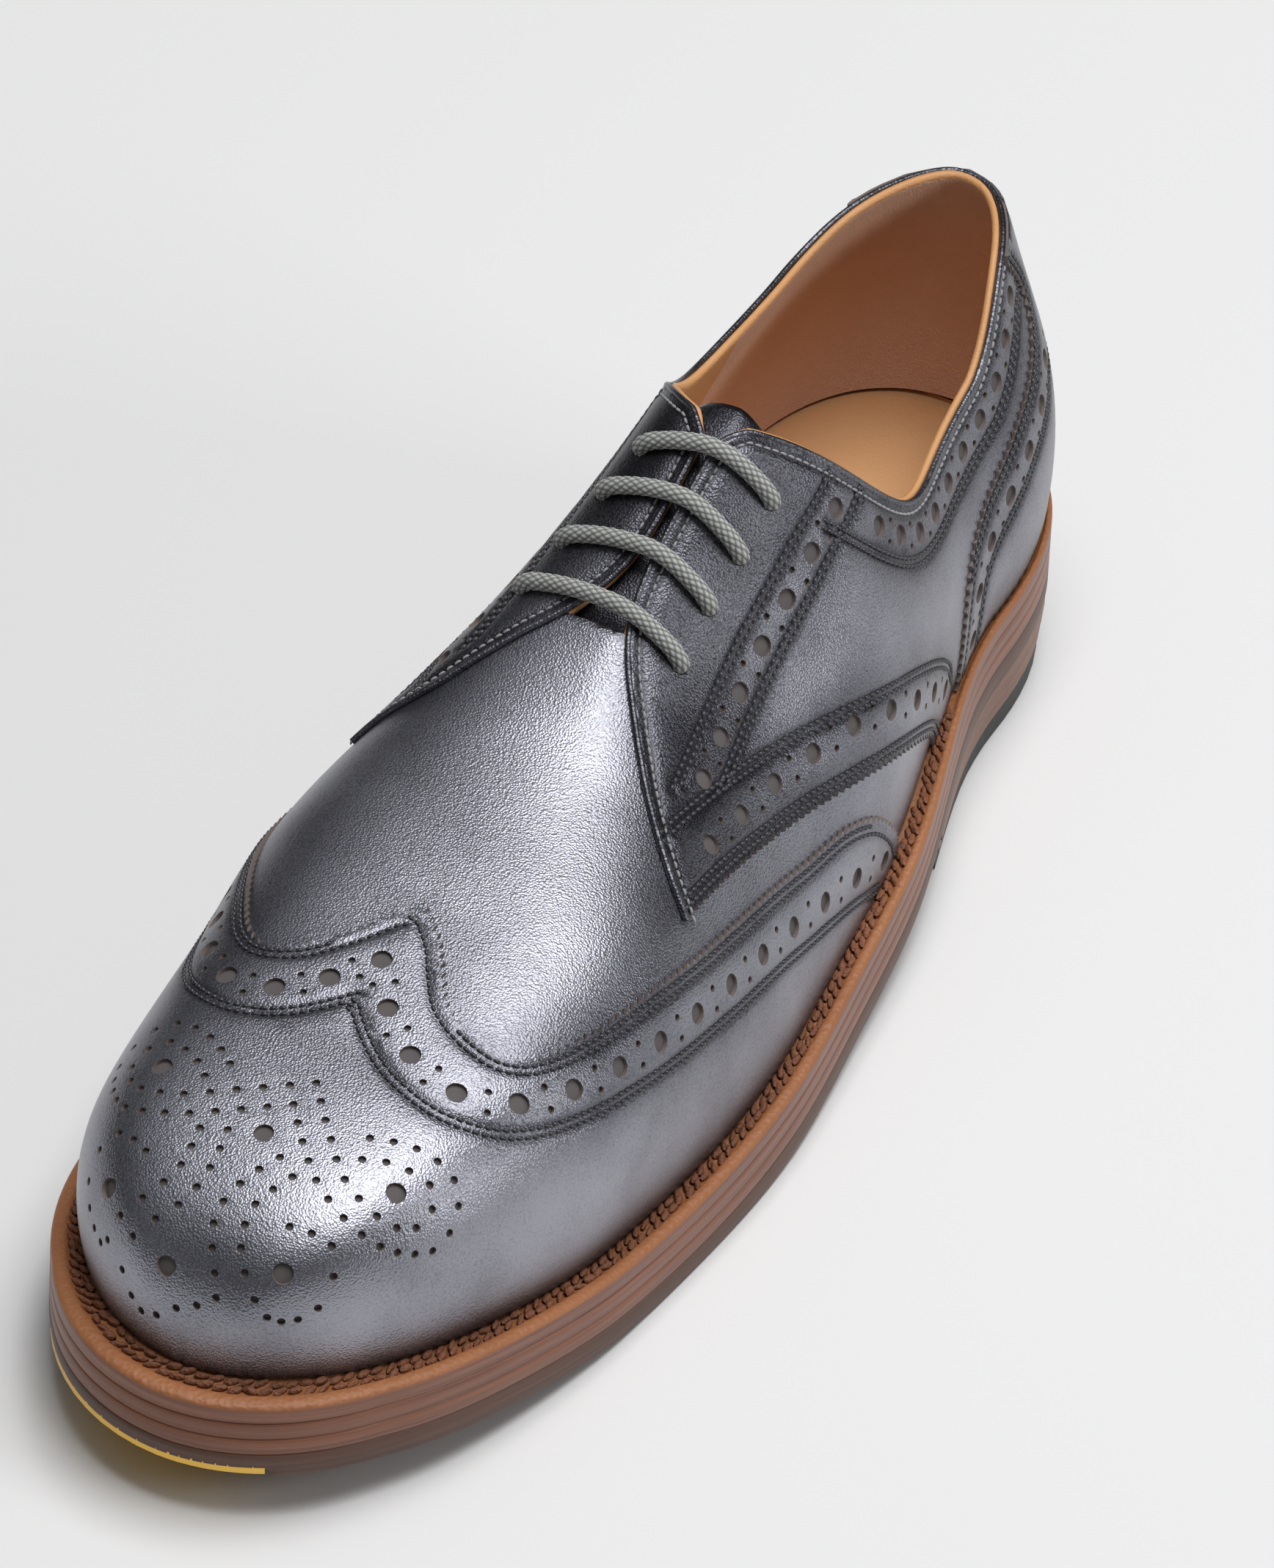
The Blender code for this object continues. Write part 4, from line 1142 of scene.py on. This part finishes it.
# Lace
# A round braided cord in four bars across the facings, each bent down into a plain eyelet at both ends.
# The braid's strands stand a little proud of the cord; its hollows are painted darker as shade and its crowns
# lighter as highlight.
LACE_RADIUS = 1.58
LACE_SIDES = 64
LACE_STEP = 0.18
LACE_LIFT = 1.9
LACE_CROWN = 0.35
LACE_BEND = 1.9
LACE_ENDS = np.array([0.35, 0.3, 0.0])
LACE_END_LIFTS = np.array([-2.6, -0.9, 0.7])
BRAID_STRANDS = 16
BRAID_PITCH = 0.95
BRAID_DEPTH = 0.18
BRAID_LEVEL = 0.6


def lace_bar(row):
    """A braided tube from eyelet to eyelet; returns its points, faces and weave.

    Two helical counts of the strands cross in diamonds. Each diamond is a bump that is drawn out along one
    strand or the other in turn, which gives the over and under of the braid.
    """
    lateral_s, lateral_reach, medial_s, medial_reach = row
    bar = np.linspace(lateral_reach - LACE_BEND, -medial_reach + LACE_BEND, 9)
    reach = np.concatenate([lateral_reach - LACE_ENDS, bar, -medial_reach + LACE_ENDS[::-1]])
    crown = LACE_LIFT + LACE_CROWN * np.sin(np.linspace(0, np.pi, 9))
    lift = np.concatenate([LACE_END_LIFTS, crown, LACE_END_LIFTS[::-1]])
    s = lateral_s + (medial_s - lateral_s) * (lateral_reach - reach) / (lateral_reach + medial_reach)
    side = np.where(reach < 0, -1.0, 1.0)
    at = chart_points(over, s, side * wall_share(s, side, np.abs(reach)))
    points = surface(over, at, lift)
    run = running(points)
    fine = np.linspace(0, run[-1], int(run[-1] / MM / LACE_STEP))
    path = through(run, points, fine)
    up = through(run, outward(*over(at)), fine)
    bend = np.gradient(path, axis=0)
    up = up - bend * ((up * bend).sum(1) / (bend**2).sum(1))[:, None]
    turn = np.linspace(0, 1, LACE_SIDES, endpoint=False) * BRAID_STRANDS / 2
    along = fine[:, None] / MM / BRAID_PITCH / 2
    u, v = turn + along, turn - along
    over_under = (np.floor(u) + np.floor(v)) % 2 == 0
    bump_u, bump_v = np.abs(np.sin(np.pi * u)), np.abs(np.sin(np.pi * v))
    weave = np.where(over_under, np.sqrt(bump_u) * bump_v, bump_u * np.sqrt(bump_v))
    return *tube(path, unit(up), LACE_RADIUS + BRAID_DEPTH * (weave - BRAID_LEVEL), LACE_SIDES), weave


CORD, cord_tree, cord_shader = plain_material("braided_cord", (0.22, 0.23, 0.21), 0.75)
cord_weave, cord_shade_mix = nodes(cord_tree, "Attribute", "Mix")
cord_weave.attribute_name = "weave"
cord_shade_mix.data_type = "RGBA"
# Painted shade and highlight: the weave height darkens the braid's hollows and lightens its crowns.
put(cord_shade_mix, {"A": (0.075, 0.08, 0.075, 1.0), "B": (0.54, 0.55, 0.52, 1.0)})
wire(cord_tree, (cord_weave.outputs["Fac"], cord_shade_mix.inputs["Factor"]),
     (cord_shade_mix.outputs["Result"], cord_shader.inputs["Base Color"]))
for number, row in enumerate(LACE_BARS, 1):
    bar_points, bar_faces, bar_weave = lace_bar(row)
    bar = mesh_piece(f"lace_braid_{number}", bar_points, bar_faces, [CORD])
    tagged(bar, "weave", bar_weave)
    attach(bar, "root")
    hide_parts(f"lace_bar_{number}")

# Welt
# A strip of tan leather sewn round the upper, with a rough groove for its heavy brown stitches.
# Its outer edge is trimmed with the sole and stained brown.
WELT_PROFILE = [(-0.55, -0.3), (0.0, -0.4), (0.1, -0.65), (0.3, -0.75), (0.5, -0.65), (0.58, -0.1),
                (0.64, 0.08), (0.78, 0.1), (0.89, 0.0), (0.955, -0.25), (0.99, -0.65), (1.0, -1.2),
                (1.0, -3.46), (0.965, -3.58)]
WELT_SIDE_ROW = 10
WELT_STITCH = 2.6
WELT_STITCH_LONG = 2.55
WELT_STITCH_FROM = 72.0
WELT_STITCH_SLANT = (0.35, 0.25)
WELT_STITCH_SWAY = 0.16
WELT_STITCH_HOP = 0.1
WELT_STITCH_VARY = 0.12
WELT_GROOVE = -0.3
WELT_STITCH_ROWS = ((0.18, 0.0), (0.42, 0.5))
WELT_STITCH_SWELL = np.array([0.4, 0.85, 1.0, 1.0, 1.0, 0.85, 0.4]) * 0.66
loop_feather = sole_edge(np.zeros_like)


def sole_rows(profile):
    """Rings of points round the sole, for pairs of a share from feather line to edge and a rise."""
    height = feather_height(loop_feather[:, 1])
    return np.stack([np.column_stack([loop_feather + (loop_edge - loop_feather) * f, height + dz])
                     for f, dz in profile])


def trimmed_edge(name, light, dark, roughness, own_height=True):
    """Leather seen at its trimmed edge: streaks along the layer from noise that is squeezed in height.

    With its own height, a piece carries each point's drop below the feather line, and the streaks follow it.
    """
    m, tree, shader = plain_material(name, light, roughness)
    place, squeeze, streaks, ramp, dent = nodes(tree, "TexCoord", "Mapping", "TexNoise", "ValToRGB", "Bump")
    put(squeeze, {"Scale": (22.0, 22.0, 1100.0)})
    put(streaks, {"Scale": 1.0, "Detail": 5.0, "Roughness": 0.6})
    put(dent, {"Strength": 0.3, "Distance": 0.0003})
    for stop, position, colour in zip(ramp.color_ramp.elements, (0.22, 0.66), (dark, light)):
        stop.position = position
        stop.color = (*colour, 1.0)
    where = place.outputs["Object"]
    if own_height:
        split, join, layer = nodes(tree, "SeparateXYZ", "CombineXYZ", "Attribute")
        layer.attribute_name = "layer"
        wire(tree, (where, split.inputs[0]), (split.outputs["X"], join.inputs["X"]),
             (split.outputs["Y"], join.inputs["Y"]), (layer.outputs["Fac"], join.inputs["Z"]))
        where = join.outputs[0]
    wire(tree, (where, squeeze.inputs["Vector"]), (squeeze.outputs["Vector"], streaks.inputs["Vector"]),
         (streaks.outputs["Fac"], ramp.inputs["Fac"]), (ramp.outputs["Color"], shader.inputs["Base Color"]),
         (streaks.outputs["Fac"], dent.inputs["Height"]), (dent.outputs["Normal"], shader.inputs["Normal"]))
    return m


def layered_piece(name, rings, looks, face_looks=None):
    """A piece from rings round the sole, with each point's drop below the feather line in metres."""
    piece = mesh_piece(name, to_frame(rings).reshape(-1, 3), net_faces(*rings.shape[:2]), looks, face_looks)
    tagged(piece, "layer", (feather_height(loop_feather[:, 1]) - rings[..., 2]) * MM)
    return piece


SOLE_BROWN = trimmed_edge("sole_brown", (0.295, 0.12, 0.068), (0.13, 0.05, 0.032), 0.42)
WELT_TAN = leather("welt_tan", (0.42, 0.17, 0.062), (0.27, 0.095, 0.036), 900.0, 0.5, 0.5)
welt_rows = np.repeat(np.arange(len(WELT_PROFILE) - 1), len(loop_edge))
welt_looks = welt_rows >= WELT_SIDE_ROW
welt = layered_piece("welt_strip", sole_rows(WELT_PROFILE), [WELT_TAN, SOLE_BROWN], welt_looks)
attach(welt, "root")
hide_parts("welt")
chance = np.random.default_rng(7)
seats = []
for share, offset in WELT_STITCH_ROWS:
    groove = sole_rows([(share, WELT_GROOVE)])[0]
    first = int(np.argmax(groove[:, 1] > WELT_STITCH_FROM))
    groove = groove[first:2 * len(SOLE_TAU) - 2 - first]
    run = running(groove)
    seats.append(at_run(groove, run, np.arange(offset * WELT_STITCH, run[-1], WELT_STITCH)))
seat = to_frame(np.concatenate(seats))
one_each = (len(seat), 1)
along = unit(np.gradient(seat, axis=0))
up = np.broadcast_to([0.0, 0.0, 1.0], seat.shape)
across = np.cross(up, along)
along = along + across * chance.normal(*WELT_STITCH_SLANT, one_each)
sway = chance.normal(0.0, WELT_STITCH_SWAY, one_each)
hop = chance.normal(0.0, WELT_STITCH_HOP, one_each)
seat = seat + across * sway * MM + up * hop * MM
swell = (WELT_STITCH_SWELL * chance.normal(1.0, WELT_STITCH_VARY, one_each))[..., None]
turn = np.arange(8) * np.pi / 4
welt_step = np.linspace(-0.5, 0.5, len(WELT_STITCH_SWELL)) * WELT_STITCH_LONG
welt_thread = beads(seat, along, up, across, welt_step, swell * np.sin(turn), swell * np.cos(turn))
BROWN_THREAD = leather("brown_thread", (0.36, 0.135, 0.06), (0.07, 0.024, 0.013), 1600.0, 0.8, 0.65)
welt_stitches = mesh_piece("welt_stitching", *welt_thread, [BROWN_THREAD])
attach(welt_stitches, "root")

# Sole
# Two midsole layers and a darker outsole of oak-bark leather, glued and trimmed together, with the
# layers' joints showing as thin dark lines.
MIDSOLE_PROFILE = [(0.9, -3.6), (0.965, -3.62), (1.0, -3.75), (1.0, -7.08), (0.965, -7.18), (0.965, -7.24),
                   (1.0, -7.34), (1.0, -10.6), (0.965, -10.75)]
OUTSOLE_PROFILE = [(0.965, 0.0), (1.0, 0.04), (1.0, 0.9), (0.96, 1.0), (0.2, 1.0)]
OUTSOLE_TOP = 10.75
TREAD_DROP = 15.8
PLATE_LATERAL = 287.5
PLATE_MEDIAL = 276.0
PLATE_THICK = 1.7
midsole = layered_piece("midsole_layers", sole_rows(MIDSOLE_PROFILE), [SOLE_BROWN])
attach(midsole, "root")
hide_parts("midsole")
SOLE_DARK = trimmed_edge("outsole_dark", (0.14, 0.068, 0.045), (0.06, 0.03, 0.022), 0.5)
feather = feather_height(loop_feather[:, 1])
plate_from = np.where(np.arange(len(loop_edge)) < len(SOLE_TAU), PLATE_LATERAL, PLATE_MEDIAL)
plated = np.concatenate([station(SOLE_TAU), station(SOLE_TAU[-2:0:-1])]) > plate_from
tread = np.maximum(feather - TREAD_DROP, 0.0) + plated * PLATE_THICK
top = feather - OUTSOLE_TOP
out_rings = [np.column_stack([loop_feather + (loop_edge - loop_feather) * f, top + (tread - top) * share])
             for f, share in OUTSOLE_PROFILE]
middle_line = np.column_stack([section_value("centre", loop_feather[:, 1]), loop_feather[:, 1]])
inner = out_rings[-1][:, :2]
out_rings += [np.column_stack([inner * (1 - f) + middle_line * f, tread]) for f in (0.5, 1.0)]
outsole = layered_piece("outsole_layer", np.stack(out_rings), [SOLE_DARK])
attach(outsole, "root")
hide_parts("outsole")

# Heel and toe plate
# A nailed stack of leather lifts on a dark rubber top piece, and a thin brass plate let into the tread
# at the toe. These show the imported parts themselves.
HEEL_LOOK = trimmed_edge("heel_stack_leather", (0.27, 0.125, 0.07), (0.10, 0.045, 0.03), 0.45,
                         own_height=False)
RUBBER, _, _ = plain_material("top_piece_dark", (0.035, 0.036, 0.033), 0.6)
BRASS, _, brass_shader = plain_material("toe_plate_yellow", (0.83, 0.52, 0.10), 0.35)
put(brass_shader, {"Metallic": 0.6})
PACKED_LOOKS = (("heel_lift_1", HEEL_LOOK, "sole_leather"), ("heel_lift_2", HEEL_LOOK, "sole_leather"),
                ("top_piece", RUBBER, "top_piece_rubber"), ("toe_plate", BRASS, "toe_plate_brass"))
for node, look, slot_name in PACKED_LOOKS:
    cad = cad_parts[node]
    cad.data.materials.clear()
    cad.data.materials.append(look)
